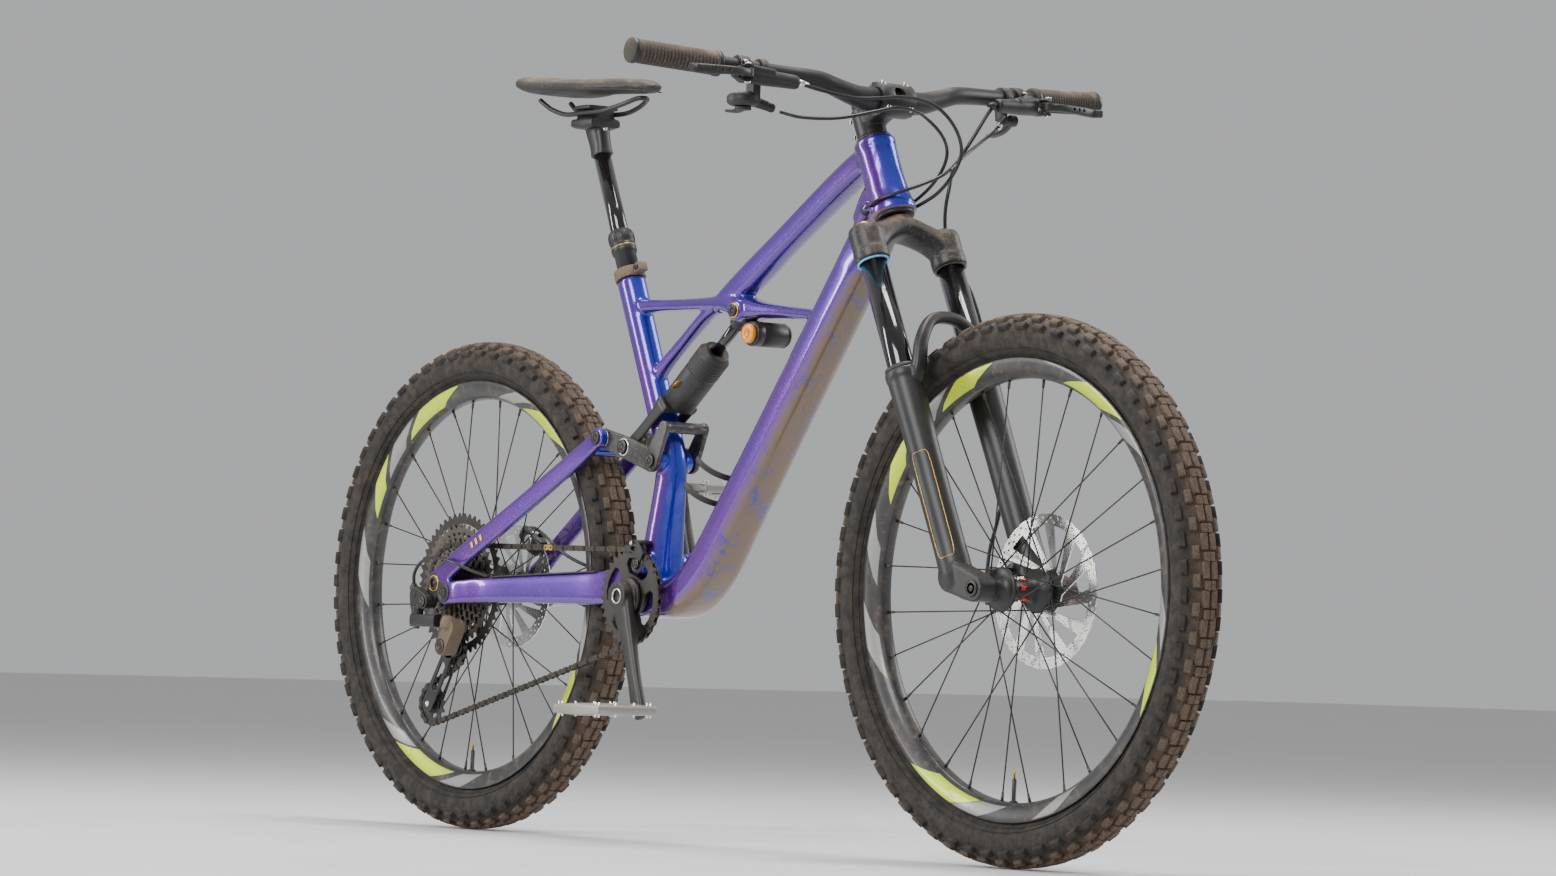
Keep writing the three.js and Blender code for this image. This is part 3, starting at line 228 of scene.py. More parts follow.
def frame_paint(name):
    """Gloss colour-shift paint with its angle-dependent sheen painted by facing direction: violet on the
    flanks, blue on what faces forwards or up, and painted shade on the undersides.
    """
    paint = Paint(name, 0.26, 0.55, 1.0, 0.03)
    violet = (0.095, 0.014, 0.235)
    blue = (0.006, 0.026, 0.42)
    # dark violet used as painted shade on the undersides
    painted_shade_violet = (0.022, 0.005, 0.13)
    # painted sheen: the colour shift follows which way a face points, blue on faces turned forwards or up,
    # violet on the flanks
    ahead = paint.step(paint.normal("X"), 0.35, 0.92)
    above = paint.step(paint.normal("Z"), 0.55, 1.0)
    turn = paint.clamped(paint.plus(ahead, paint.times(above, 0.5)))
    wave = paint.step(paint.noise(3.5, 1, 0.4), 0.38, 0.62)
    base = paint.mix(turn, violet, blue)
    base = paint.mix(paint.times(wave, 0.3), base, (0.018, 0.022, 0.36))
    # painted shade: downward-facing surfaces are darkened towards the dark violet; the same underside mask
    # also sets where mud lies
    underside_for_shade_and_mud = paint.step(paint.times(paint.normal("Z"), -1.0), 0.25, 0.95)
    base = paint.mix(paint.times(underside_for_shade_and_mud, 0.7), base, painted_shade_violet)
    flake = paint.step(paint.noise(2600, 1, 0.5), 0.62, 0.8)
    base = paint.mix(paint.times(flake, 0.2), base, (0.18, 0.09, 0.5))
    low = paint.step(paint.position("Z"), 0.52, 0.30)
    splash = paint.step(paint.noise(170, 5, 0.72), 0.60, 0.66)
    film = paint.step(paint.noise(46, 6, 0.7), 0.50, 0.76)
    faces_down = paint.step(paint.times(paint.normal("Z"), -1.0), 0.05, 0.55)
    under = paint.times(paint.plus(underside_for_shade_and_mud, 0.06), paint.plus(low, 0.45))
    amount = paint.plus(paint.times(splash, paint.plus(under, 0.10)),
                        paint.times(film, under))
    slope = paint.math("SUBTRACT", paint.times(paint.position("X"), 1.27), paint.position("Z"))
    under_tube = paint.step(slope, 0.292, 0.325)
    caked = paint.times(paint.step(paint.noise(24, 7, 0.75), 0.34, 0.50), under_tube)
    amount = paint.plus(amount, paint.times(caked, faces_down))
    on_top = paint.times(paint.step(paint.normal("Z"), 0.75, 1.0), film)
    amount = paint.plus(amount, paint.times(on_top, 0.35))
    amount = paint.clamped(amount)
    paint.set("Base Color", paint.mix(amount, base, (0.16, 0.105, 0.066)))
    paint.set("Roughness", paint.blend(amount, 0.26, 0.9))
    paint.set("Metallic", paint.blend(amount, 0.55, 0.0))
    paint.bump(amount, 0.25, 0.0008)
    return paint.material


def wheel_radius(paint, centre):
    """Distance from the axle and angle round it, for materials of turned pieces."""
    x = paint.math("SUBTRACT", paint.position("X"), centre[0] * MM)
    z = paint.math("SUBTRACT", paint.position("Z"), centre[1] * MM)
    radius = paint.math("SQRT", paint.plus(paint.times(x, x), paint.times(z, z)))
    return radius, paint.math("ARCTAN2", z, x)


def tyre_rubber(name, centre):
    """Dark side walls with dusty brown knobs and dried mud between them."""
    paint = Paint(name, 0.82, 0.0)
    radius, _ = wheel_radius(paint, centre)
    tread = paint.step(radius, 0.338, 0.352)
    grime = paint.step(paint.noise(60, 7, 0.75), 0.38, 0.68)
    fine = paint.step(paint.noise(600, 3, 0.6), 0.35, 0.75)
    base = paint.mix(grime, (0.010, 0.009, 0.0085), (0.034, 0.026, 0.019))
    dusty = paint.mix(fine, (0.085, 0.056, 0.036), (0.235, 0.165, 0.110))
    amount = paint.plus(paint.times(tread, 0.62), paint.times(grime, 0.12))
    paint.set("Base Color", paint.mix(amount, base, dusty))
    paint.bump(paint.plus(fine, paint.noise(180, 5)), 0.45, 0.0006)
    return paint.material


def rim_graphics(name, centre, lime_places):
    """Charcoal rim with slanted lime and grey blocks that carry no lettering."""
    paint = Paint(name, 0.42, 0.2, 0.2)
    radius, angle = wheel_radius(paint, centre)
    slant = paint.plus(angle, paint.times(paint.math("SUBTRACT", radius, 0.284), 9.0))
    base = paint.mix(paint.step(paint.noise(30, 5), 0.4, 0.7), (0.030, 0.029, 0.030), (0.055, 0.050, 0.047))
    band = paint.times(paint.step(radius, 0.2755, 0.2765), paint.step(radius, 0.2955, 0.2945))
    for place, half, colour in lime_places:
        away = paint.math("SUBTRACT", slant, math.radians(place))
        turned_back = paint.node("ShaderNodeMath", {0: away, 1: math.pi, 2: -math.pi},
                                 operation="WRAP").outputs[0]
        inside = paint.step(paint.math("ABSOLUTE", turned_back), math.radians(half) + 0.006,
                            math.radians(half))
        base = paint.mix(paint.times(inside, band), base, colour)
    dirt = paint.times(paint.step(paint.noise(90, 6, 0.7), 0.5, 0.75), 0.5)
    paint.set("Base Color", paint.mix(dirt, base, DUST))
    paint.set("Roughness", paint.blend(dirt, 0.42, 0.9))
    paint.bump(paint.noise(400, 3), 0.1, 0.0003)
    return paint.material


VIOLET = frame_paint("violet_paint")
BLACK = worn("matte_black", (0.011, 0.011, 0.012), 0.42, 0.1, 0.16, 0.2)
GLOSS = worn("gloss_black", (0.004, 0.004, 0.005), 0.10, 0.3, 0.05, 0.12, 0.8)
PLASTIC = worn("black_plastic", (0.012, 0.0115, 0.0115), 0.52, 0.0, 0.24, 0.15)
STEEL = worn("dark_steel", (0.055, 0.050, 0.046), 0.40, 0.85, 0.28, 0.5)
SILVER = worn("bright_steel", (0.62, 0.61, 0.58), 0.24, 1.0, 0.12, 0.3)
ALLOY = worn("grey_alloy", (0.30, 0.285, 0.265), 0.42, 0.75, 0.55, 0.5)
GOLD = worn("gold_anodised", (0.62, 0.38, 0.07), 0.28, 0.9, 0.12, 0.2)
ORANGE = worn("orange_knob", (0.75, 0.26, 0.02), 0.35, 0.4, 0.10, 0.2)
SKY = worn("light_blue_knob", (0.10, 0.42, 0.80), 0.35, 0.4, 0.10, 0.2)
RED = worn("red_anodised", (0.55, 0.02, 0.02), 0.35, 0.6, 0.15, 0.2)
GRIP = worn("grip_rubber", (0.042, 0.034, 0.028), 0.85, 0.0, 0.7, 0.2, bump=0.4)
HOSE = worn("hose_black", (0.007, 0.007, 0.008), 0.33, 0.0, 0.08, 0.1)
MUDDY = worn("muddy_alloy", (0.12, 0.085, 0.055), 0.75, 0.1, 1.0, 0.4, bump=0.5)
SADDLE = worn("saddle_cover", (0.018, 0.016, 0.015), 0.6, 0.0, 0.75, 0.15, bump=0.25)
CHAIN = worn("chain_steel", (0.060, 0.053, 0.046), 0.38, 0.9, 0.30, 0.4)
COGS = worn("cog_steel", (0.13, 0.115, 0.10), 0.36, 0.95, 0.28, 0.5)
CARBON = worn("crank_black", (0.022, 0.021, 0.020), 0.42, 0.3, 0.32, 0.7)
YELLOW = worn("yellow_mark", (0.75, 0.50, 0.05), 0.4, 0.0, 0.1, 0.1)

# ------------------------------------------------------------------ shapes


def keep(obj, material, body, replaced=(), smooth=True):
    """Gives a finished piece its look and its place in the frame."""
    obj.data.materials.clear()
    obj.data.materials.append(material)
    for face in obj.data.polygons:
        face.use_smooth = smooth
    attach(obj, body)
    if replaced:
        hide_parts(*replaced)
    return obj


def keep_bent(obj, material, bodies, start, end, replaced):
    """For a piece that crosses one joint: gives it its material and smoothing, bakes its place into its
    mesh and hides the parts it replaces, without attaching it to a body. bodies, start and end are not
    used.
    """
    obj.data.materials.append(material)
    for face in obj.data.polygons:
        face.use_smooth = material is HOSE
    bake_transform(obj)
    if replaced:
        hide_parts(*replaced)


def made(name, points, faces):
    """A mesh object from points in millimetres, with its faces turned outwards."""
    mesh = bpy.data.meshes.new(name)
    mesh.from_pydata([tuple(Vector(p) * MM) for p in points], [], faces)
    mesh.validate()
    work = bmesh.new()
    work.from_mesh(mesh)
    bmesh.ops.recalc_face_normals(work, faces=work.faces)
    work.to_mesh(mesh)
    work.free()
    obj = bpy.data.objects.new(name, mesh)
    bpy.context.collection.objects.link(obj)
    return obj


def merged(name, objects):
    """One object from several."""
    if len(objects) > 1:
        with bpy.context.temp_override(active_object=objects[0], selected_editable_objects=objects):
            bpy.ops.object.join()
    objects[0].name = name
    objects[0].data.name = name
    return objects[0]


def applied(obj, kind, **settings):
    """Adds a modifier and makes its result the mesh."""
    modifier = obj.modifiers.new(kind, kind)
    for key, value in settings.items():
        setattr(modifier, key, value)
    with bpy.context.temp_override(object=obj, active_object=obj):
        bpy.ops.object.modifier_apply(modifier=modifier.name)
    return obj


def melted(name, objects, voxel, rounds=6, factor=0.6):
    """Several solids grown into one smooth skin, as a moulded or cast piece is."""
    obj = merged(name, objects)
    applied(obj, "REMESH", mode="VOXEL", voxel_size=voxel * MM)
    return applied(obj, "SMOOTH", factor=factor, iterations=rounds)


def bevelled(obj, width=0.8, angle=35, segments=2):
    return applied(obj, "BEVEL", width=width * MM, segments=segments, angle_limit=math.radians(angle))


def hollowed(obj, *tools):
    """Cuts each tool out of the object, and removes the tool."""
    for tool in tools:
        applied(obj, "BOOLEAN", object=tool, operation="DIFFERENCE", solver="EXACT")
        bpy.data.objects.remove(tool)
    return obj


def bores(places):
    """A cutting tool on each side of the bike for every (place, low, high, radius)."""
    return [rod("bore", at(place, side * low), at(place, side * high), radius)
            for side in (-1, 1) for place, low, high, radius in places]


def grid_faces(rows, sides, closed_ends=True, loop=False):
    faces = []
    for i in range(rows if loop else rows - 1):
        a, b = i * sides, ((i + 1) % rows) * sides
        faces += [(a + k, a + (k + 1) % sides, b + (k + 1) % sides, b + k) for k in range(sides)]
    if closed_ends and not loop:
        faces.append(tuple(range(sides))[::-1])
        faces.append(tuple(range((rows - 1) * sides, rows * sides)))
    return faces


def smooth_line(points, count):
    """Points spread evenly along a smooth curve through the given rows of numbers."""
    rows = np.array([tuple(p) for p in points], float)
    gaps = np.linalg.norm(np.diff(rows[:, :3], axis=0), axis=1)
    knots = np.concatenate([[0], np.cumsum(np.sqrt(gaps))])
    dense = []
    for i in range(len(rows) - 1):
        p0, p3 = rows[max(i - 1, 0)], rows[min(i + 2, len(rows) - 1)]
        k1, k2 = knots[i], knots[i + 1]
        k0 = knots[i - 1] if i else k1 - (k2 - k1)
        k3 = knots[i + 2] if i + 2 < len(rows) else k2 + (k2 - k1)
        before = (rows[i + 1] - p0) / (k2 - k0) if i else (rows[i + 1] - rows[i]) / (k2 - k1)
        after = (p3 - rows[i]) / (k3 - k1) if i + 2 < len(rows) else (rows[i + 1] - rows[i]) / (k2 - k1)
        for t in np.linspace(0, 1, 24, endpoint=False):
            h = (2 * t**3 - 3 * t**2 + 1, t**3 - 2 * t**2 + t, -2 * t**3 + 3 * t**2, t**3 - t**2)
            dense.append(h[0] * rows[i] + h[1] * (k2 - k1) * before
                         + h[2] * rows[i + 1] + h[3] * (k2 - k1) * after)
    dense = np.array(dense + [rows[-1]])
    run = np.concatenate([[0], np.cumsum(np.linalg.norm(np.diff(dense[:, :3], axis=0), axis=1))])
    wanted = np.linspace(0, run[-1], count)
    return np.column_stack([np.interp(wanted, run, dense[:, k]) for k in range(rows.shape[1])])


def loft(name, stations, side=(0, 1, 0), power=2.6, sides=28, count=40):
    """A skin along stations (x, y, z, half size along side, half size across it)."""
    rows = smooth_line(stations, count)
    centres = rows[:, :3]
    along = np.gradient(centres, axis=0)
    points = []
    for i, row in enumerate(rows):
        forward = Vector(along[i]).normalized()
        first = (Vector(side) - forward * forward.dot(Vector(side))).normalized()
        second = forward.cross(first)
        for k in range(sides):
            angle = 2 * math.pi * k / sides
            c, s = math.cos(angle), math.sin(angle)
            u = math.copysign(abs(c) ** (2 / power), c) * row[3]
            w = math.copysign(abs(s) ** (2 / power), s) * row[4]
            points.append(Vector(row[:3]) + first * u + second * w)
    return made(name, points, grid_faces(count, sides))


def tube(name, points, radius, sides=14, count=90):
    """A round bar along a smooth line, with a steady twist-free section."""
    rows = smooth_line(points, count)
    along = np.gradient(rows, axis=0)
    first = Vector(along[0]).orthogonal().normalized()
    skin = []
    for i, row in enumerate(rows):
        forward = Vector(along[i]).normalized()
        first = (first - forward * first.dot(forward)).normalized()
        second = forward.cross(first)
        for k in range(sides):
            angle = 2 * math.pi * k / sides
            skin.append(Vector(row) + (first * math.cos(angle) + second * math.sin(angle)) * radius)
    return made(name, skin, grid_faces(count, sides))


def turned(name, profile, start, end, sides=48):
    """A turned solid about the line from start to end. The profile is (radius, distance)."""
    start, end = Vector(start), Vector(end)
    forward = (end - start).normalized()
    first = forward.orthogonal().normalized()
    second = forward.cross(first)
    points = []
    for radius, distance in profile:
        for k in range(sides):
            angle = 2 * math.pi * k / sides
            points.append(start + forward * distance
                          + (first * math.cos(angle) + second * math.sin(angle)) * max(radius, 0.01))
    return made(name, points, grid_faces(len(profile), sides))


def ring(name, profile, start, end, sides=48):
    """A turned piece with a hole: the profile's last point joins its first."""
    obj = turned(name, [*profile, profile[0]], start, end, sides)
    work = bmesh.new()
    work.from_mesh(obj.data)
    caps = [f for f in work.faces if len(f.verts) == sides]
    bmesh.ops.delete(work, geom=caps, context="FACES_ONLY")
    bmesh.ops.remove_doubles(work, verts=work.verts, dist=1e-6)
    bmesh.ops.recalc_face_normals(work, faces=work.faces)
    work.to_mesh(obj.data)
    work.free()
    return obj


def rod(name, start, end, radius, end_radius=None, sides=24, chamfer=0.0):
    """A straight round bar, with its ends chamfered if wanted."""
    end_radius = radius if end_radius is None else end_radius
    length = (Vector(end) - Vector(start)).length
    profile = [(radius, 0), (end_radius, length)]
    if chamfer:
        profile = [(radius - chamfer, 0), (radius, chamfer),
                   (end_radius, length - chamfer), (end_radius - chamfer, length)]
    return turned(name, profile, start, end, sides)


def block(name, centre, half, turn=0.0, axis="Y"):
    corners = [Vector((x, y, z)) for x in (-1, 1) for y in (-1, 1) for z in (-1, 1)]
    spin = Matrix.Rotation(math.radians(turn), 3, axis)
    points = [Vector(centre) + spin @ Vector((c.x * half[0], c.y * half[1],
                                              c.z * half[2])) for c in corners]
    faces = [(0, 1, 3, 2), (4, 6, 7, 5), (0, 4, 5, 1), (2, 3, 7, 6), (0, 2, 6, 4), (1, 5, 7, 3)]
    return made(name, points, faces)


def plate(name, outline, low, high, holes=(), bevel=0.0):
    """A flat plate across the bike from side-view outlines, with a hole for each in holes."""
    curve = bpy.data.curves.new(name, "CURVE")
    curve.dimensions = "2D"
    curve.fill_mode = "BOTH"
    curve.extrude = ((high - low) / 2 - bevel) * MM
    curve.bevel_depth = bevel * MM
    curve.offset = -bevel * MM
    for points in (outline, *holes):
        spline = curve.splines.new("POLY")
        spline.points.add(len(points) - 1)
        for point, (x, z) in zip(spline.points, points):
            point.co = (x * MM, z * MM, 0, 1)
        spline.use_cyclic_u = True
    flat = bpy.data.objects.new(name, curve)
    bpy.context.collection.objects.link(flat)
    mesh = bpy.data.meshes.new_from_object(flat.evaluated_get(bpy.context.evaluated_depsgraph_get()))
    bpy.data.objects.remove(flat)
    mesh.transform(Matrix.Translation((0, (low + high) / 2 * MM, 0)) @ Matrix.Rotation(math.pi / 2, 4, "X"))
    work = bmesh.new()
    work.from_mesh(mesh)
    bmesh.ops.remove_doubles(work, verts=work.verts, dist=1e-6)
    bmesh.ops.recalc_face_normals(work, faces=work.faces)
    work.to_mesh(mesh)
    work.free()
    mesh.name = name
    obj = bpy.data.objects.new(name, mesh)
    bpy.context.collection.objects.link(obj)
    return obj


def circle(centre, radius, count=32):
    turns = [2 * math.pi * k / count for k in range(count)]
    return [(centre[0] + radius * math.cos(a), centre[1] + radius * math.sin(a)) for a in turns]


def link_outline(a, radius_a, b, radius_b, count=10):
    """Two circles of a side view joined by their outer tangents."""
    heading = math.atan2(b[1] - a[1], b[0] - a[0])
    spread = math.acos((radius_a - radius_b) / math.dist(a, b))
    points = []
    for centre, radius, low, high in (
        (a, radius_a, heading + spread, heading + 2 * math.pi - spread),
        (b, radius_b, heading - spread, heading + spread),
    ):
        for k in range(count + 1):
            angle = low + (high - low) * k / count
            points.append((centre[0] + radius * math.cos(angle), centre[1] + radius * math.sin(angle)))
    return points


def bolt(name, centre, outward, radius, height=3.0, socket=0.5):
    """A round cap screw with a six-sided socket."""
    outward = Vector(outward).normalized()
    depth = height * 0.6
    points = []
    first = outward.orthogonal().normalized()
    second = outward.cross(first)
    rings = [(radius, 0), (radius, height - 0.5), (radius - 0.5, height),
             (radius * socket, height), (radius * socket, height - depth), (0.01, height - depth)]
    sides = 24
    for index, (size, distance) in enumerate(rings):
        for k in range(sides):
            corner = round(k / 4) * 4 if index in (3, 4) else k
            angle = 2 * math.pi * corner / sides
            points.append(Vector(centre) + outward * distance
                          + (first * math.cos(angle) + second * math.sin(angle)) * size)
    return made(name, points, grid_faces(len(rings), sides))


def flipped(obj, name):
    """The same mesh on the other side of the centre plane, as a new object."""
    copy = obj.copy()
    copy.data = obj.data.copy()
    copy.name = name
    copy.data.transform(Matrix.Scale(-1, 4, (0, 1, 0)))
    copy.data.flip_normals()
    bpy.context.collection.objects.link(copy)
    return copy


def both(obj):
    return [obj, flipped(obj, obj.name + "_other")]


# ------------------------------------------------------------------ front triangle


def build_frame():
    down = loft("down_tube", [
        (912, 0, 866, 23, 30), (866, 0, 800, 27, 29), (845, 0, 769, 30, 28), (700, 0, 576, 32, 28),
        (600, 0, 443, 34, 29), (548, 0, 377, 36, 30), (500, 0, 343, 37, 29), (440, 0, 336, 34, 26),
    ], power=3.0, count=80)
    top = loft("top_tube", [
        (894, 0, 934, 22, 20), (835, 0, 908, 20, 19), (700, 0, 827, 18, 18), (612, 0, 772, 18, 19),
        (556, 0, 741, 17, 13),
    ], power=3.2, count=60)
    strut = loft("strut", [
        (350, 0, 747, 14, 11), (400, 0, 748, 13, 9), (470, 0, 747, 12, 8.5), (540, 0, 746, 16, 10),
        (580, 0, 745, 20, 14), (614, 0, 737, 21, 17), (650, 0, 733, 21, 12), (700, 0, 729, 19, 9),
        (780, 0, 721, 22, 8.5),
    ], power=3.0, count=70)
    brace = loft("brace", [
        (556, 0, 744, 13, 9), (520, 0, 727, 12, 7.5), (470, 0, 692, 10, 8), (430, 0, 662, 11, 9),
        (405, 0, 640, 13, 12),
    ], power=3.0)
    seat = loft("seat_tube", [
        (345, 0, 786, 20, 20), (352, 0, 770, 20, 20), (398, 0, 662, 19.6, 19.6), (425, 0, 600, 20, 20),
        (446, 0, 552, 20, 21), (452, 0, 515, 21, 22), (447, 0, 470, 24, 22), (439, 0, 410, 29, 24),
        (434, 0, 350, 32, 26),
    ], power=2.2, count=70)
    head = turned("head_tube", [
        (29, 1), (31.5, 3), (31.5, 12), (28.5, 30), (27, 60), (27.2, 96), (28.6, 104), (28.6, 111),
        (27, 112.5),
    ], HEAD, HEAD + HEAD_UP * 113)
    gusset = loft("head_gusset", [(925, 0, 872, 25, 20), (900, 0, 872, 24, 30), (868, 0, 838, 21, 22)],
                  power=2.4)
    upper_gusset = loft("top_gusset", [(900, 0, 930, 23, 24), (872, 0, 917, 20, 21)], power=2.4, count=10)
    port = loft("port", [(884, -24, 836, 7, 5), (897, -28, 850, 9, 8), (910, -29, 864, 7, 7)], power=2.0)
    solids = [down, top, strut, brace, seat, head, gusset, upper_gusset, *both(port)]
    solids.append(rod("shell", at(CRANK, -33.5), at(CRANK, 33.5), 27.5))
    solids.append(rod("main_barrel", at(MAIN_PIVOT, -33), at(MAIN_PIVOT, 33), 17))
    solids.append(rod("rocker_barrel", at(ROCKER_PIVOT, -29.6), at(ROCKER_PIVOT, 29.6), 15))
    solids.append(rod("shock_boss", at(SHOCK_EYE, -24), at(SHOCK_EYE, 24), 15.5))
    body = melted("frame_front", solids, 1.9, 14)
    slot = merged("shock_slot", [
        rod("slot_round", at(SHOCK_EYE, -13), at(SHOCK_EYE, 13), 18.5),
        block("slot_box", on_shock(268), (24, 13, 17.5), SHOCK_TURN),
    ])
    applied(slot, "REMESH", mode="VOXEL", voxel_size=0.0015)
    hollowed(
        body,
        slot,
        rod("seat_bore", on_seat(-60), on_seat(20), 16.1),
        rod("post_bore", on_seat(-150), on_seat(-50), 13.4),
        rod("seat_trim", on_seat(-0.2), on_seat(20), 30),
        rod("spindle_bore", at(CRANK, -60), at(CRANK, 60), 16.5),
    )
    keep(body, VIOLET, "frame", ["front_triangle"])

    for side, tag in SIDES:
        cup = turned("bb_cup", [(20, 0), (22, 0.5), (22, 8), (20.5, 9), (17, 9), (17, 0)],
                     at(CRANK, side * 33.6), at(CRANK, side * 60))
        keep(cup, BLACK, "frame").name = "bottom_bracket_cup_" + tag
        pivots = [
            bolt("p", at(MAIN_PIVOT, side * 46), (0, side, 0), 7.2, 2.6),
            rod("q", at(MAIN_PIVOT, side * 33.2), at(MAIN_PIVOT, side * 46.2), 6.9),
            bolt("r", at(ROCKER_PIVOT, side * 38.2), (0, side, 0), 9, 2.6),
            rod("s", at(ROCKER_PIVOT, side * 29), at(ROCKER_PIVOT, side * 38.4), 6.4),
        ]
        keep(merged("frame_pivot_bolts_" + tag, pivots), STEEL, "frame")
        washer = ring("w", [(7, 0), (11, 0), (11, 1.4), (7, 1.4)], at(SHOCK_EYE, side * 24),
                      at(SHOCK_EYE, side * 30))
        keep(washer, GOLD, "frame").name = "shock_bolt_washer_" + tag
        head = bolt("shock_bolt_head_" + tag, at(SHOCK_EYE, side * 24.6), (0, side, 0), 8.6, 3.4)
        keep(head, BLACK, "frame")
    keep(rod("shock_bolt", at(SHOCK_EYE, -24), at(SHOCK_EYE, 24), 5.9), STEEL, "frame")

    for tag, low, high, radius in (("lower", -3.2, 1.2, 27), ("upper", 112.2, 117, 24)):
        cup = ring("headset_cup_" + tag, [(15.5, 0), (radius - 1, 0), (radius, 1), (radius, high - low - 1),
                                          (radius - 1, high - low), (15.5, high - low)],
                   HEAD + HEAD_UP * low, HEAD + HEAD_UP * high)
        keep(cup, BLACK, "frame")


def build_stays():
    arm = loft("chainstay_arm", [
        (438, -40, 386, 5.6, 15), (412, -40.2, 374, 5.6, 19), (372, -40.5, 355, 5.5, 23),
        (338, -42.4, 351, 6, 23),
        (300, -47, 350, 6.6, 21.5), (200, -59, 348, 7, 19.5), (118, -70, 346, 7, 18),
        (80, -81, 344, 6.5, 17),
        (58, -89.3, 342, 4.7, 16), (40, -89.3, 341, 4.6, 15),
    ], power=4.0, count=90)
    bosses = [rod("front_boss", at(MAIN_PIVOT, -45.6), at(MAIN_PIVOT, -34), 16.5),
              rod("rear_boss", at(REAR_PIVOT, -94), at(REAR_PIVOT, -84.4), 16.5)]
    bridge = loft("bridge", [(383, -41, 362, 17, 19), (383, 0, 362, 14, 17), (383, 41, 362, 17, 19)],
                  side=(1, 0, 0), power=3)
    solids = [*both(arm), *both(bosses[0]), *both(bosses[1]), bridge]
    body = melted("chainstay_body", solids, 1.5, 5)
    hollowed(body, *bores([(MAIN_PIVOT, 30, 60, 7.4), (REAR_PIVOT, 80, 99, 7.0)]))
    keep(body, VIOLET, "chainstay", ["chainstay"])
    protector = loft("chainstay_protector", [
        (345, -42.4, 374.3, 6.2, 1.2), (300, -47, 372.6, 6.8, 1.4), (200, -59, 368.4, 7, 1.4),
        (130, -69, 365.2, 6.6, 1.2),
    ], power=4)
    keep(protector, PLASTIC, "chainstay")
    for side, tag in SIDES:
        cap = [ring("c", [(6, 0), (13.6, 0), (14.4, 0.6), (14.4, 2.2), (13.4, 2.8), (6, 2.8)],
                    at(REAR_PIVOT, side * 93.2), at(REAR_PIVOT, side * 99)),
               bolt("d", at(REAR_PIVOT, side * 93.6), (0, side, 0), 6.4, 3.2)]
        keep(merged("rear_pivot_cap_" + tag, cap), BLACK, "chainstay")
        disc = ring("main_pivot_ring_" + tag, [(7.6, 0), (15, 0), (15.6, 0.6), (14.8, 1.5), (7.6, 1.5)],
                    at(MAIN_PIVOT, side * 45.0), at(MAIN_PIVOT, side * 50))
        keep(disc, BLACK, "chainstay")

    stay = loft("seatstay_arm", [
        (4, -79.4, 359, 4.6, 17), (40, -78.6, 382, 5, 15.5), (80, -73, 407, 6, 15),
        (180, -60, 466, 6, 14.5),
        (280, -48, 526, 6, 14), (318, -44.8, 549, 5.8, 13), (340, -44.6, 562, 5.6, 13),
    ], power=4.0, count=90)
    boss = rod("stay_boss", at(STAY_PIVOT, -50.2), at(STAY_PIVOT, -38.8), 14)
    drop = plate("dropout", link_outline(REAR, 19, REAR_PIVOT, 15), -83.8, -74.4)
    bridge = rod("stay_bridge", (321, -45, 544), (321, 45, 544), 7.2)
    body = melted("seatstay_body", [*both(stay), *both(boss), *both(drop), bridge], 1.4, 4)
    hanger = bevelled(plate("hanger", link_outline(REAR, 15, (-9, 328), 9.5), -84.4, -77, bevel=0.8), 0.5)
    hollowed(body, *bores([(REAR, 70, 90, 6.6)]))
    keep(body, VIOLET, "seatstay", ["seatstay"])
    keep(hanger, BLACK, "seatstay").name = "derailleur_hanger"
    for side, tag in SIDES:
        pins = [rod("h", at(REAR_PIVOT, side * 80), at(REAR_PIVOT, side * 93), 6.4),
                rod("s", at(STAY_PIVOT, side * 30.8), at(STAY_PIVOT, side * 46), 4.9)]
        keep(merged("seatstay_pins_" + tag, pins), STEEL, "seatstay")
        keep(bolt("seatstay_bolt_" + tag, at(STAY_PIVOT, side * 50), (0, side, 0), 9.5, 2.8), BLACK,
             "seatstay")
    axle = [rod("a", at(REAR, -84.6), at(REAR, 86), 5.9),
            ring("b", [(6, 0), (9.5, 0), (10, 0.5), (9.5, 2.0), (6, 2.0)], at(REAR, -84.2), at(REAR, -92)),
            turned("c", [(8, 0), (10.5, 0.6), (10.5, 3), (9, 4), (0.1, 4)], at(REAR, 84), at(REAR, 92))]
    keep(merged("rear_through_axle", axle), STEEL, "seatstay", ["rear_axle"])
    gold = ring("axle_gold_ring", [(9.8, 0), (12.4, 0), (12.4, 1.2), (9.8, 1.2)], at(REAR, -84),
                at(REAR, -90))
    keep(gold, GOLD, "seatstay")
    for index, shift in enumerate((0, 9, 18)):
        mark = block("stay_mark_%d" % index, (86 + shift, -79.2 + shift * 0.13, 410.6 + shift * 0.59),
                     (2.2, 0.35, 4.4), -30)
        keep(bevelled(mark, 0.2), YELLOW, "seatstay")


# ------------------------------------------------------------------ rocker and shock


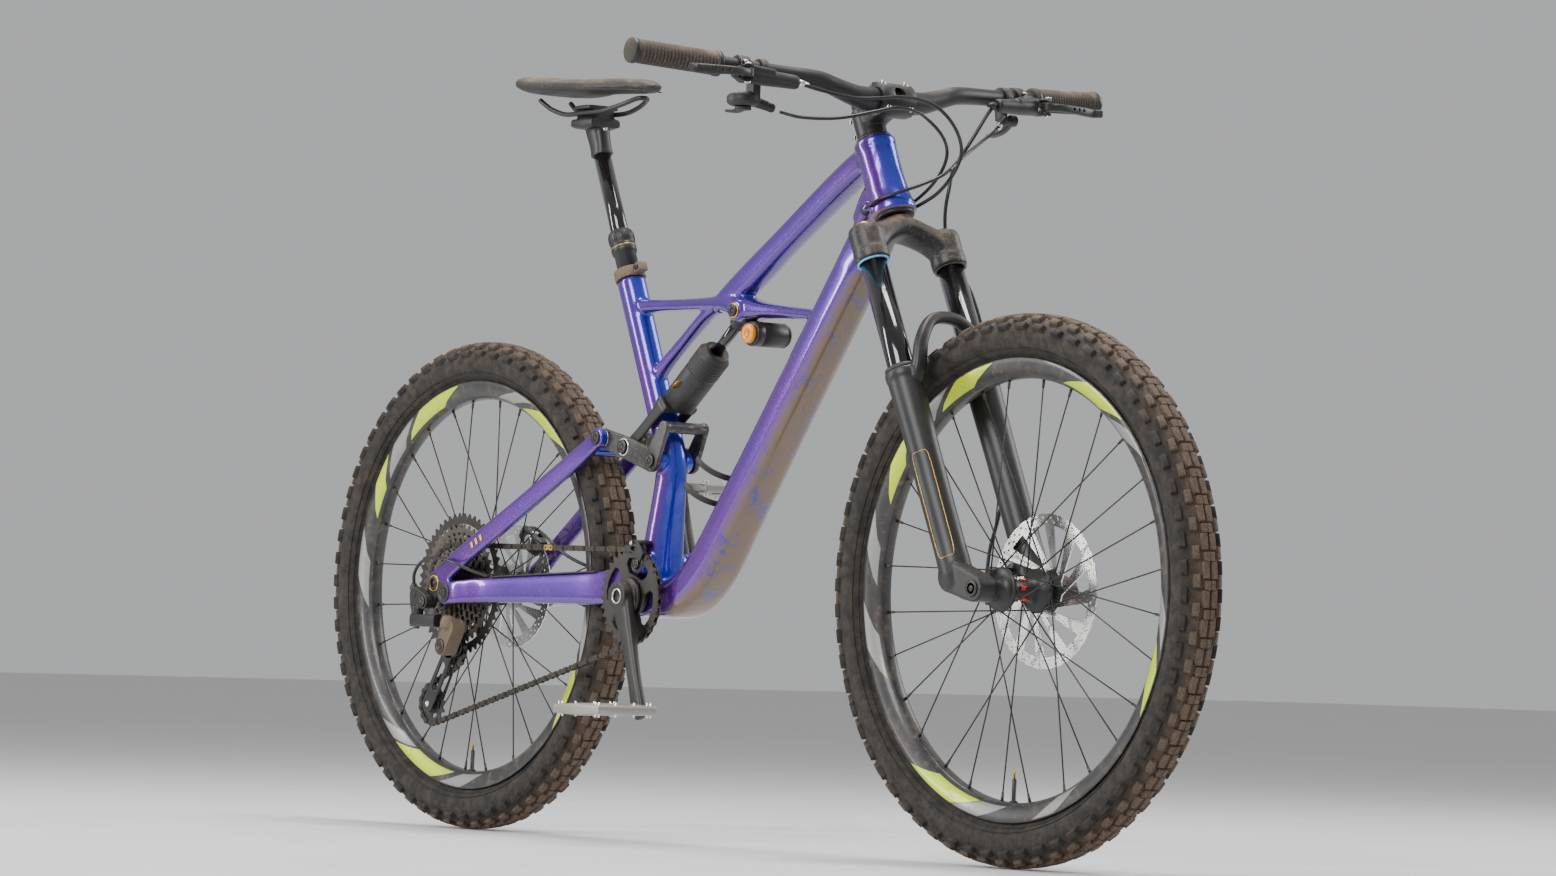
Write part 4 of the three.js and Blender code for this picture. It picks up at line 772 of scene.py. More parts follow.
def build_linkage():
    hoop = (478, 575)
    outline_pairs = [(STAY_PIVOT, 13.5, YOKE_PIVOT, 15.5), (YOKE_PIVOT, 15.5, ROCKER_PIVOT, 16),
                     (ROCKER_PIVOT, 15, hoop, 9), (STAY_PIVOT, 10.5, ROCKER_PIVOT, 13.5)]
    solids = []
    for a, radius_a, b, radius_b in outline_pairs:
        solids += both(plate("rocker_web", link_outline(a, radius_a, b, radius_b, 14), -37.8, -30.8))
    solids.append(rod("rocker_hoop", at(hoop, -34), at(hoop, 34), 8.2))
    body = melted("rocker_body", solids, 1.3, 3)
    places = ((STAY_PIVOT, 9.6), (YOKE_PIVOT, 9.6), (ROCKER_PIVOT, 6.9))
    hollowed(body, *bores([(place, 25, 45, radius) for place, radius in places]))
    edge = worn("rocker_black", (0.013, 0.0125, 0.0125), 0.36, 0.4, 0.25, 0.6, edge=(0.24, 0.23, 0.22))
    keep(body, edge, "rocker", ["rocker_link"])
    for side, tag in SIDES:
        facings = [ring("f", [(9.7, 0), (12.9, 0), (12.9, 0.8), (9.7, 0.8)], at(place, side * 37.6),
                        at(place, side * 40)) for place in (STAY_PIVOT, YOKE_PIVOT)]
        keep(merged("rocker_facings_" + tag, facings), SILVER, "rocker")

    arm = loft("yoke_arm", [
        (388, -25.7, 549, 3.4, 12), (415, -25.7, 571, 3.2, 9), (440, -25.7, 591, 3.2, 9),
        (458, -25.5, 606, 3.4, 11),
    ], power=3.2)
    eye = rod("yoke_eye", at(YOKE_PIVOT, -29), at(YOKE_PIVOT, -22.4), 12.5)
    bridge = block("yoke_bridge", on_shock(93.2), (5.4, 28, 12), SHOCK_TURN)
    body = melted("yoke_body", [*both(arm), *both(eye), bridge], 1.2, 4)
    keep(body, BLACK, "shock_body", ["shock_yoke"])
    for side, tag in SIDES:
        bolts = [rod("y", at(YOKE_PIVOT, side * 22.6), at(YOKE_PIVOT, side * 39.2), 4.9),
                 bolt("z", at(YOKE_PIVOT, side * 38.9), (0, side, 0), 9.4, 2.4)]
        keep(merged("yoke_bolt_" + tag, bolts), STEEL, "shock_body")

    ribs = []
    for k in range(6):
        low = 167 + k * 5.4
        ribs += [(22.6, low), (24.2, low + 0.8), (24.2, low + 3.2), (22.6, low + 4)]
    foot = 98.6
    profile = [(14, foot), (21, 98.8), (23.6, 101), (23.8, 160), (22.4, 163), *ribs,
               (20, 202), (18.5, 207), (9.2, 207), (9.2, 203)]
    can = turned("shock_air_can", [(r, d - foot) for r, d in profile], on_shock(foot), on_shock(210), 64)
    keep(can, PLASTIC, "shock_body", ["shock_can"])
    badge = loft("shock_badge", [(0, 0, 0, 7, 0.5), (14, 0, 0, 7, 0.5)], power=8, count=3)
    badge.data.transform(Matrix.Translation(on_shock(128) * MM + Vector((0, -0.0238, 0)))
                         @ Matrix.Rotation(math.radians(SHOCK_TURN), 4, "Y"))
    keep(badge, GOLD, "shock_body")

    shaft = rod("shock_shaft_rod", on_shock(196), on_shock(278), 7.9, sides=40)
    keep(shaft, GLOSS, "shock_shaft", ["shock_damper"])
    eye = melted("shock_eyelet", [
        rod("e1", on_shock(262), on_shock(282), 11.5),
        rod("e2", at(SHOCK_EYE, -12.2), at(SHOCK_EYE, 12.2), 13.6),
        loft("e3", [(612, 0, 724, 9, 10), (630, 0, 709, 9, 9), (646, 0, 702, 10, 10)], power=2.4),
    ], 1.1, 4)
    hollowed(eye, rod("bore", at(SHOCK_EYE, -20), at(SHOCK_EYE, 20), 6.3))
    keep(eye, BLACK, "shock_shaft")
    pot = (651, 700)
    reservoir = turned("shock_reservoir", [
        (14, 0), (16.6, 0.8), (17, 2), (17, 12), (16.2, 13), (16.2, 15), (17, 16), (17, 52), (16.2, 53),
        (16.2, 55),
        (17, 56), (15.6, 59), (0.1, 59),
    ], at(pot, -22), at(pot, 40), 64)
    keep(reservoir, BLACK, "shock_shaft")
    knob = turned("shock_orange_knob", [(10, 0), (13, 0.4), (13.4, 1.4), (13.4, 5.6), (12, 7.2), (5, 7.4),
                                        (4.5, 6.4),
                                        (0.1, 6.4)], at(pot, -22.2), at(pot, -32))
    keep(knob, ORANGE, "shock_shaft")
    small = turned("shock_blue_knob", [(4.5, 0), (5.6, 0.5), (5.6, 4), (4.6, 5), (0.1, 5)],
                   (632, -12, 694), (632, -22, 690))
    keep(small, SKY, "shock_shaft")


# ------------------------------------------------------------------ wheels


def knob_rows():
    """One pitch of tread: (turn in pitches, y, half width, half length, height, radius)."""
    rows = []
    for side in (-1, 1):
        rows.append((0.25, side * 6.2, 4.6, 0.30, 4.6, 350.2))
        rows.append((0.62, side * 17.5, 4.4, 0.24, 4.8, 346.2))
        rows.append((0.12, side * 28.2, 4.2, 0.27, 5.6, 335.5))
    rows.append((0.78, -4.0, 3.9, 0.17, 4.0, 350.6))
    rows.append((0.78, 4.0, 3.9, 0.17, 4.0, 350.6))
    return rows


def build_tyre(tag, centre, material):
    profile = [(289.5, 14.7), (298.6, 14.9), (301, 17.5), (307, 25.5), (315, 30.5), (325, 31.8), (334, 29),
               (342, 22), (347.5, 13), (350.2, 4), (350.2, -4)]
    half = profile[:-1]
    inner = [(346.5, 0), (340, 19), (325, 28.4), (312, 27), (303, 16), (299.5, 11.5), (289.5, 11.3)]
    loop = [(r, -y) for r, y in half] + half[::-1]
    loop += [(r, y) for r, y in inner[::-1]] + [(r, -y) for r, y in inner[1:]]
    carcass = ring("carcass", loop, at(centre, 0), at(centre, 100), 144)
    points, faces = [], []
    pitches = 62
    for k in range(pitches):
        for turn, y, half_width, half_length, height, radius in knob_rows():
            angle = -2 * math.pi * (k + turn) / pitches
            spread = 2 * math.pi * half_length / pitches
            lean = math.radians(y * 1.75)
            base = len(points)
            for level, shrink in ((-2.0, 1.12), (height, 0.92)):
                for step_y, step_a in ((-1, -1), (1, -1), (1, 1), (-1, 1)):
                    across = step_y * half_width * shrink
                    r = radius + level * math.cos(lean) - across * math.sin(lean)
                    r = min(r, 354.9)
                    a = angle + step_a * spread * shrink
                    side_y = y + across * math.cos(lean) + level * math.sin(lean)
                    points.append((centre[0] + r * math.cos(a), side_y, centre[1] + r * math.sin(a)))
            faces += [tuple(base + i for i in f) for f in
                      ((0, 1, 2, 3), (7, 6, 5, 4), (0, 4, 5, 1), (1, 5, 6, 2), (2, 6, 7, 3), (3, 7, 4, 0))]
    knobs = bevelled(made("knobs", points, faces), 0.5, segments=1)
    ribs = []
    for radius, y in ((303.5, 21.6), (309, 27.8)):
        for side in (-1, 1):
            ribs.append(ring("rib", [(radius - 0.8, -0.5), (radius, 0.6), (radius + 0.8, -0.5)],
                             at(centre, side * y), at(centre, side * (y + 10)), 96))
    tyre = merged(tag + "_tyre_skin", [carcass, knobs, *ribs])
    keep(tyre, material, tag + "_wheel", [tag + "_tyre"], smooth=False)
    for face in tyre.data.polygons:
        face.use_smooth = face.area > 1e-5 and abs(face.normal.y) > 0.2


def build_wheel(tag, centre, flanges, flange_radius, hub_profile, lime_places):
    body = tag + "_wheel"
    build_tyre(tag, centre, tyre_rubber(tag + "_tyre_rubber", centre))
    rim_profile = [(271, 5), (272.5, 9), (281, 16), (290, 18.2), (296.4, 19), (297.2, 18.4),
                   (297.2, 15.6), (296.4, 15),
                   (288.5, 15), (286, 9), (284, 0)]
    loop = [(r, -y) for r, y in rim_profile] + [(r, y) for r, y in rim_profile[::-1][1:]]
    rim = ring("rim", loop, at(centre, 0), at(centre, 100), 160)
    keep(rim, rim_graphics(tag + "_rim_graphics", centre, lime_places), body,
         [tag + "_rim"]).name = tag + "_rim_shell"
    spokes, nipples = [], []
    spoke_end = 273
    for i in range(SPOKES):
        on_left = i % 2 == 0
        pull = 1 if (i // 2) % 2 else -1
        rim_angle = 2 * math.pi * (i + 0.5) / SPOKES
        hub_angle = rim_angle + pull * math.radians(66)
        flange_y = flanges[0] if on_left else flanges[1]
        start = Vector((centre[0] + flange_radius * math.cos(hub_angle), flange_y + 1.7 * pull,
                        centre[1] + flange_radius * math.sin(hub_angle)))
        end = Vector((centre[0] + spoke_end * math.cos(rim_angle), 2.6 if on_left else -2.6,
                      centre[1] + spoke_end * math.sin(rim_angle)))
        reach = (end - start).normalized()
        spokes.append(rod("s", start, end, 1.0, sides=6))
        spokes.append(rod("e", start - Vector((0, 3.4 * pull, 0)), start + Vector((0, 1.0 * pull, 0)),
                          1.3, sides=6))
        nipples.append(rod("n", end - reach * 13, end, 1.7, 2.2, sides=8))
    keep(merged(tag + "_spokes", spokes), BLACK, body)
    keep(merged(tag + "_nipples", nipples), STEEL, body)
    valve_angle = math.radians(-91 if tag == "front" else -92)
    out = Vector((math.cos(valve_angle), 0, math.sin(valve_angle)))
    foot = at(centre, 0) + out * 272
    valve = turned(tag + "_valve", [(5.5, 0), (5.5, 3), (3, 3.4), (3, 30), (2.2, 31), (0.1, 31)],
                   foot, foot - out * 40, 16)
    keep(valve, BLACK, body)
    keep(turned(tag + "_valve_tip", [(1.6, 0), (1.6, 7), (2.4, 7.4), (2.4, 10), (0.1, 10.4)],
                foot - out * 31, foot - out * 50, 12), GOLD, body)
    hub = ring("hub", hub_profile, at(centre, 0), at(centre, 100), 56)
    keep(hub, BLACK, body, [tag + "_hub"]).name = tag + "_hub_shell"


def rotor_piece(tag, centre, y, radius):
    """A brake disc with slanted arms, a ring with slots, and six bolts."""
    body = tag + "_wheel"
    arms = 12
    inner, outer = 33, radius - 15
    bore = circle(centre, 12.5, 32)
    holes = [bore]
    for i in range(arms):
        turn = i * 360 / arms
        window = [polar(centre, inner, turn + shift) for shift in (5, 13, 21)]
        window += [polar(centre, outer, turn + 50 - k * 4.4) for k in range(5)]
        holes.append(window)
    slot = ((-1.5, -1.6), (-1.5, 0.6), (1.5, 1.6), (1.5, -0.6))
    for row, shift in ((radius - 10.5, 0.0), (radius - 5.0, 4.5)):
        for i in range(40):
            holes.append([polar(centre, row + rise, i * 9 + shift + turn) for rise, turn in slot])
    corners = 128
    edge = [polar(centre, radius - (0.0 if k % 4 else 1.2), k * 360 / corners) for k in range(corners)]
    disc = plate(tag + "_rotor_disc", edge, y - 0.9, y + 0.9, holes)
    keep(disc, SILVER, body, [tag + "_rotor"], smooth=False)
    carrier = plate(tag + "_rotor_carrier", circle(centre, 30.5, 64), y + 1.0, y + 2.2, [bore])
    bolts = []
    for i in range(6):
        x, z = polar(centre, 22, i * 60 + 15)
        bolts.append(bolt("b", (x, y + 2.2, z), (0, 1, 0), 4.2, 2.4))
    keep(carrier, BLACK, body)
    keep(merged(tag + "_rotor_bolts", bolts), STEEL, body)


def build_wheels():
    lime = (0.56, 0.72, 0.012)
    grey = (0.27, 0.27, 0.26)
    front_places = [(112, 7, lime), (128, 5, grey), (146, 6, lime), (-115, 9, lime), (-100, 5, grey),
                    (-70, 4, grey),
                    (-20, 6, lime), (-5, 4, grey), (60, 8, lime), (44, 4, grey), (170, 5, grey),
                    (195, 6, grey)]
    rear_places = [(115, 10, lime), (135, 6, grey), (150, 5, lime), (-112, 10, lime), (-92, 5, grey),
                   (-128, 4, grey),
                   (-30, 8, lime), (-12, 5, grey), (55, 8, lime), (72, 4, grey), (176, 7, grey)]
    front_hub = [(8.4, -54.7), (12, -54.7), (12.6, -52), (12.6, -40), (24, -37), (28.4, -36.4), (29, -35),
                 (29, -32.6),
                 (27, -31.4), (17, -28), (14, -22), (13.4, -4), (14, 14), (18, 20), (27, 23.4),
                 (29, 24.6), (29, 27),
                 (27.5, 28.4), (21, 30), (20.5, 39), (12.6, 39.4), (12.4, 54.7), (8.4, 54.7)]
    build_wheel("front", FRONT, (26, -34), 26, front_hub, front_places)
    rear_hub = [(7, -73.7), (12, -73.7), (14.6, -72), (14.6, -34.5), (29, -31.5), (30.5, -30),
                (30.5, -25), (27, -23),
                (18, -18), (16, 0), (17, 24), (26, 33), (29, 34.4), (29, 37), (27, 38.6), (21, 41),
                (20.4, 58),
                (12.6, 58.4), (12, 73.7), (7, 73.7)]
    build_wheel("rear", REAR, (36, -27), 27, rear_hub, rear_places)
    rotor_piece("front", FRONT, 40.5, 100)
    rotor_piece("rear", REAR, 59.5, 90)
    marks = []
    for k in range(6):
        degrees = 60 * k + 10
        x, z = polar(FRONT, 14.0, degrees)
        marks.append(block("m", (x, -8 + 6 * (k % 2), z), (1.0, 5.0, 2.6), -degrees))
    keep(merged("front_hub_marks", marks), RED, "front_wheel")


# ------------------------------------------------------------------ fork


def build_fork():
    clamps = []
    for side in (-1, 1):
        clamps.append(turned("clamp", [(21, 0), (23.6, 1.2), (23.8, 14), (22.8, 18), (23.2, 42), (21.5, 49),
                                       (16, 50.5), (0.1, 50.5)],
                             in_leg(side, -76), in_leg(side, 0), 56))
    bridge = loft("crown_bridge", [
        (*in_fork(8, -66, -52), 19, 21), (*in_fork(5, -38, -33), 20, 16), (*in_fork(2, 0, -20), 23, 15),
        (*in_fork(5, 38, -33), 20, 16), (*in_fork(8, 66, -52), 19, 21),
    ], side=HEAD_AHEAD, power=2.6, count=70)
    race = rod("crown_race", in_fork(0, 0, -26), in_fork(0, 0, -5), 25, 21)
    crown = melted("fork_crown", [*clamps, bridge, race], 1.5, 5)
    crown_look = worn("crown_black", (0.014, 0.014, 0.015), 0.42, 0.2, 0.9, 0.5)
    keep(crown, crown_look, "steering", ["fork_upper"])
    keep(rod("steerer", in_fork(0, 0, -20), in_fork(0, 0, 176), 14.2), ALLOY, "steering")
    for side, tag in SIDES:
        keep(rod("stanchion_" + tag, in_leg(side, -378), in_leg(side, -60), 17.9, sides=64), GLOSS,
             "steering")
        cap = turned("fork_cap_" + tag, [(15, 0), (15, 1.8), (12.5, 2.4), (12, 4.6), (7, 4.8), (6.5, 3.2),
                                         (0.1, 3.2)],
                     in_leg(side, -26), in_leg(side, 0))
        keep(cap, GOLD if side < 0 else BLACK, "steering")
        under = ring("clamp_ring_" + tag, [(18.2, 0), (21.8, 0), (21.8, 2.0), (18.2, 2.0)],
                     in_leg(side, -78.2), in_leg(side, 0))
        keep(under, SKY if side < 0 else BLACK, "steering")

    solids = []
    for side in (-1, 1):
        solids.append(turned("leg", [(23.4, 0), (24.4, 2), (24.4, 10), (23, 14), (22.6, 40), (21.4, 120),
                                     (21.2, 250),
                                     (22, 290), (20, 306), (0.1, 309)],
                             in_leg(side, -236), in_leg(side, -560), 56))
        low = in_fork(8, 0, -528)
        foot = link_outline((low.x, low.z), 20, FRONT, 17.5, 14)
        solids.append(plate("dropout", foot, *sorted((side * 55.4, side * 83.5))))
        tie = in_fork(30, 0, -556)
        solids.append(rod("toe", (tie.x, side * 57, tie.z), (tie.x, side * 80, tie.z), 14))
    half = [(14, -64, -258, 15, 9), (33, -60, -241, 9, 10), (41, -50, -206, 8, 9), (42, -27, -177, 8, 8),
            (42, 0, -170, 8, 8)]
    half += [(x, -y, z, a, b) for x, y, z, a, b in half[:-1][::-1]]
    arch = loft("arch", [(*in_fork(x, y, z), a, b) for x, y, z, a, b in half], side=HEAD_AHEAD, power=3,
                count=90)
    solids.append(arch)
    body = melted("fork_lower_legs", solids, 1.7, 6)
    for side in (-1, 1):
        hollowed(body, rod("bore", in_leg(side, -300), in_leg(side, -220), 18.6, sides=48),
                 rod("axle_bore", at(FRONT, side * 45), at(FRONT, side * 95), 8.1))
    keep(body, BLACK, "fork_lowers", ["fork_lowers"])
    for side, tag in SIDES:
        seal = ring("wiper_seal_" + tag, [(18.4, 0), (22.8, 0), (23.2, 1), (22.6, 5), (20, 6.4),
                                          (18.4, 6.4)],
                    in_leg(side, -236.4), in_leg(side, 0))
        keep(seal, PLASTIC, "fork_lowers")
        foot = in_leg(side, -543)
        nut = turned("foot_knob_" + tag, [(9, 0), (9, 5), (7.5, 7), (0.1, 7)], foot, in_leg(side, -600))
        keep(nut, GOLD if side < 0 else STEEL, "fork_lowers")
    axle_pieces = [rod("a", at(FRONT, -85.5), at(FRONT, 84), 7.4),
                   ring("b", [(4, 0), (10.4, 0), (11, 0.6), (10.4, 1.6), (4, 1.6)], at(FRONT, -83.9),
                        at(FRONT, -99)),
                   bolt("c", at(FRONT, 83), (0, 1, 0), 10.5, 3.4)]
    keep(merged("front_through_axle", axle_pieces), STEEL, "fork_lowers", ["front_axle"])

    # A thin gold outline on the outer face of the right leg, left empty inside.
    centre, half_high, half_turn, corner = -430, 74, 33, 0.22
    leg_radius = 21.55
    line = []
    for k in range(96):
        angle = 2 * math.pi * k / 96
        c, s = math.cos(angle), math.sin(angle)
        u = math.copysign(abs(c) ** corner, c) * half_turn
        z = centre + math.copysign(abs(s) ** corner, s) * half_high
        facing = math.radians(-62 + u)
        line.append(in_fork(LEG_AHEAD + leg_radius * math.cos(facing),
                            leg_radius * math.sin(facing) - LEG_APART, z))
    outline = tube("fork_outline", [*line, line[0]], 0.42, 6, 300)
    keep(outline, GOLD, "fork_lowers")
    build_caliper("front", FRONT, 176.5, 100, 26, 53.8, 40.5, "fork_lowers")
    tab_a, tab_b = in_fork(-19.5, 0, -502), in_fork(-32, 0, -506)
    tab = plate("caliper_mount", link_outline((tab_a.x, tab_a.z), 9, (tab_b.x, tab_b.z), 8), 54.2, 61)
    keep(bevelled(tab, 0.8), BLACK, "fork_lowers")


def build_caliper(tag, axle, angle, radius, low, high, rotor_y, body):
    """A two-piece brake caliper: rounded halves over the disc, banjo, bolts and pads."""
    out = Vector((math.cos(math.radians(angle)), 0, math.sin(math.radians(angle))))
    round_way = Vector((-out.z, 0, out.x))
    middle = at(axle, 0) + out * (radius - 8)
    solids = []
    for a, b in ((low, rotor_y - 3.4), (rotor_y + 3.4, high)):
        y = (a + b) / 2
        start, end = middle - round_way * 25, middle + round_way * 25
        solids.append(loft("half", [(start.x, y, start.z, (b - a) / 2, 10),
                                    (middle.x, y, middle.z, (b - a) / 2, 15.5),
                                    (end.x, y, end.z, (b - a) / 2, 10)], power=5, count=24))
    top = middle + out * 10
    solids.append(loft("top", [(*(top - round_way * 20 + Vector((0, low + 2, 0))), 5, 5),
                               (*(top - round_way * 20 + Vector((0, high - 2, 0))), 5, 5)],
                       side=out, power=4, count=6))
    for shift in (-14, 14):
        p = middle + round_way * shift + out * 9
        solids.append(rod("t", p + Vector((0, low + 1, 0)), p + Vector((0, high - 1, 0)), 6))
    case = melted(tag + "_caliper_case", solids, 1.0, 3)
    keep(case, BLACK, body, [tag + "_caliper"])
    face = middle + Vector((0, low, 0))
    keep(turned(tag + "_caliper_piston_cap", [(9, -0.4), (9, 0.9), (7.6, 1.4), (0.1, 1.0)], face,
                face - Vector((0, 9, 0))),
         SILVER, body)
    ends = [bolt("b", middle + round_way * s * 19 + out * 3 + Vector((0, low + 0.4, 0)), (0, -1, 0), 3.4, 2)
            for s in (-1, 1)]
    keep(merged(tag + "_caliper_bolts", ends), STEEL, body)
    spot = middle + out * 13 + Vector((0, low + 6, 0))
    keep(rod(tag + "_caliper_banjo", spot - out * 3, spot + out * 4.6, 5, sides=24, chamfer=0.6), SILVER,
         body)
    pads = [block("p", middle - out * 8 + Vector((0, rotor_y + s * 2.1, 0)), (9, 0.9, 12),
                  -angle) for s in (-1, 1)]
    keep(merged(tag + "_brake_pads", pads), STEEL, body)


# ------------------------------------------------------------------ stem, bar and controls

BAR_ROWS = [(909, 0, 1002, 15.9), (909, 36, 1002, 15.9), (908.4, 50, 1003, 15.2), (908, 62, 1005, 14.4),
            (906, 92, 1013, 12.8), (905, 120, 1020, 12.1), (896, 185, 1023.8, 11.1),
            (885.5, 258, 1028, 11.1),
            (866, 396, 1036, 11.1)]


def on_bar(distance, side):
    t = (distance - 120) / 276
    return Vector((905 - 39 * t, side * distance, 1020 + 16 * t))


def bar_skin(name, grow=0.0):
    rows = [(x, -y, z, r) for x, y, z, r in BAR_ROWS[:0:-1]] + BAR_ROWS
    return loft(name, [(x, y, z, r + grow, r + grow) for x, y, z, r in rows], side=(1, 0, 0), power=2,
                sides=40, count=150)


def build_cockpit():
    keep(bar_skin("handlebar_tube"), BLACK, "steering", ["handlebar"])
    up = HEAD_UP
    face = Vector((0.93, 0, 0.37)).normalized()
    centre = Vector((909, 0, 1002))
    split = centre + face * 2
    tilt = -math.degrees(math.atan2(face.z, face.x))
    clamp = rod("bar_clamp", centre - Vector((0, 27, 0)), centre + Vector((0, 27, 0)), 22.5, sides=56)
    solids = [
        rod("steerer_clamp", HEAD + up * 118, HEAD + up * 160, 20.5, sides=56),
        loft("stem_neck", [(864, 0, 977, 18, 17), (888, 0, 990, 20, 15), (905, 0, 1001, 24, 18)],
             power=3.4),
        clamp,
    ]
    stem = melted("stem_forging", solids, 1.2, 4)
    hollowed(stem, block("front_room", split + face * 30, (30, 60, 60), tilt), bar_skin("bar_room", 0.5))
    keep(stem, BLACK, "steering", ["stem"])
    top = turned("stem_top_cap", [(18, 0), (18, 2), (16.4, 4), (6, 4.4), (5.4, 3), (0.1, 3)],
                 HEAD + up * 176.5,
                 HEAD + up * 190)
    spacer = rod("stem_spacer", HEAD + up * 160.4, HEAD + up * 176.2, 17.4, sides=56, chamfer=0.5)
    keep(merged("stem_top", [top, spacer]), BLACK, "steering")
    plate_clamp = rod("face_clamp", centre - Vector((0, 27, 0)), centre + Vector((0, 27, 0)), 23.6,
                      sides=56)
    window = rod("w", centre + Vector((-5, 0, 0)), centre + face * 40, 9, sides=32)
    hollowed(plate_clamp, block("rear_room", split - face * 29.6, (30, 60, 60), tilt),
             bar_skin("bar_room", 0.5), window)
    keep(bevelled(plate_clamp, 0.6), BLACK, "steering", ["stem_faceplate"])
    across = Vector((-face.z, 0, face.x))
    screws = []
    for s_up in (-1, 1):
        for y in (-19, 19):
            screws.append(bolt("b", centre + face * 13.5 + across * s_up * 17.6 + Vector((0, y, 0)), face,
                               4.0, 4.0))
    keep(merged("stem_face_bolts", screws), SILVER, "steering")
    sides = [bolt("s", HEAD + up * d + Vector((-17, -13.5, -7.7)), (-0.3, -1, 0), 3.2, 3.0) for d in (127,
        150)]
    keep(merged("stem_clamp_bolts", sides), SILVER, "steering")

    for side, tag in SIDES:
        inner, outer = on_bar(268, side), on_bar(400, side)
        length = (outer - inner).length
        profile = [(11.5, 0), (15.5, 0), (16.2, 1), (16.2, 9), (15, 9.8)]
        position = 12.0
        while position < length - 14:
            profile += [(14.3, position), (15.9, position + 0.7), (15.9, position + 2.9),
                        (14.3, position + 3.6)]
            position += 5.2
        profile += [(15, length - 10), (16.4, length - 9), (16.4, length - 1.2), (15.4, length),
                    (0.1, length)]
        grip = turned("grip_sleeve_" + tag, profile, inner, outer, 48)
        hollowed(grip, bar_skin("bar_room", 0.25))
        keep(grip, GRIP, "steering", ["grip_" + tag])
        for spot in (4.5, length - 5):
            where = inner + (outer - inner).normalized() * spot
            collar = ring("grip_collar_%s_%d" % (tag, spot),
                          [(12, -3.4), (16.35, -3.4), (16.9, -2.6), (16.9, 2.6),
                                                            (16.35, 3.4), (12, 3.4)], where,
                                                            outer if spot < 50 else inner)
            keep(collar, BLACK, "steering")
        build_brake(side, tag)
    build_shifter()
    build_remote()


def lever_pivot(side):
    return on_bar(252, side) + Vector((42, side * 6, -13))


def build_brake(side, tag):
    place = on_bar(236, side)
    pivot = lever_pivot(side)
    clamp = rod("clamp", on_bar(244, side), on_bar(228, side), 15.8, sides=48)
    tube_out = place + Vector((26, side * 24, -12))
    tube_in = place + Vector((38, side * -66, -17))
    axis = (tube_in - tube_out).normalized()
    cylinder = turned("cylinder", [(8, -2), (10.4, 0), (11, 3), (11, 40), (10.2, 60), (9.4, 86), (8, 90),
                                   (0.1, 91)],
                      tube_out, tube_in, 40)
    tank = loft("tank", [(*(tube_out + axis * 16 + Vector((2, 0, 7))), 8, 7),
                         (*(tube_out + axis * 52 + Vector((3, 0, 6))), 7, 6)],
                side=(1, 0, 0), power=3, count=12)
    neck = loft("neck", [beside(place, (10, 0, -5), 8, 8), beside(place, (30, 0, -13), 9, 8)], power=3,
                count=8)
    cheeks = [loft("cheek", [beside(pivot, (-16, -side * 6, h), 6, 2.4), beside(pivot, (6, 0, h), 8, 2.4)],
                   side=(0, 1, 0), power=3, count=8) for h in (-9.4, 9.4)]
    root = loft("root", [beside(place, (26, side * 6, -12), 9, 9),
                         beside(pivot, (-14, -side * 5, 0), 6, 11)],
                side=(0, 1, 0), power=3, count=8)
    case = melted("brake_case_" + tag, [clamp, cylinder, tank, neck, *cheeks, root], 1.1, 4)
    hollowed(case, bar_skin("bar_room", 0.5),
             rod("lever_room", pivot + Vector((4, 0, -6.4)), pivot + Vector((4, 0, 6.4)), 14.5))
    keep(case, BLACK, "steering", ["brake_master_" + tag])
    bits = [bolt("a", pivot + Vector((4, 0, 11.4)), (0, 0, 1), 4.4, 2.2),
            bolt("b", pivot + Vector((4, 0, -11.4)), (0, 0, -1), 4.4, 2.2),
            bolt("c", place + Vector((15, side * 4, 6)), (0.3, 0, 1), 3.2, 3)]
    keep(merged("brake_screws_" + tag, bits), SILVER, "steering")
    nut = turned("brake_hose_nut_" + tag, [(4.6, -1), (4.6, 8), (3.4, 10), (2.9, 15), (0.1, 15)], tube_in,
                 tube_in + axis * 30, 24)
    keep(nut, SILVER if side < 0 else BLACK, "steering")
    at_pivot = pivot + Vector((4, 0, 0))
    stations = [(0, -4, 0, 6, 5.4), (8, 20, 0, 5, 5.4), (5, 58, -1, 3.4, 6), (-2, 82, -1, 3.2, 6),
                (4, 95, -1, 3.8, 5.2)]
    rows = [beside(at_pivot, (x, side * y, z), a, b) for x, y, z, a, b in stations]
    blade = loft("blade", rows, side=(1, 0, 0), power=3, count=60)
    knuckle = rod("knuckle", at_pivot - Vector((0, 0, 5.4)), at_pivot + Vector((0, 0, 5.4)), 8.2)
    lever = melted("brake_blade_" + tag, [blade, knuckle], 0.8, 3)
    for spot in (38, 48, 58):
        hole = at_pivot + Vector((7 - spot * 0.04, side * spot, 0))
        hollowed(lever, rod("h", hole - Vector((9, 0, 0)), hole + Vector((9, 0, 0)), 2.7, sides=16))
    keep(lever, CARBON, "lever_" + tag, ["brake_lever_" + tag])


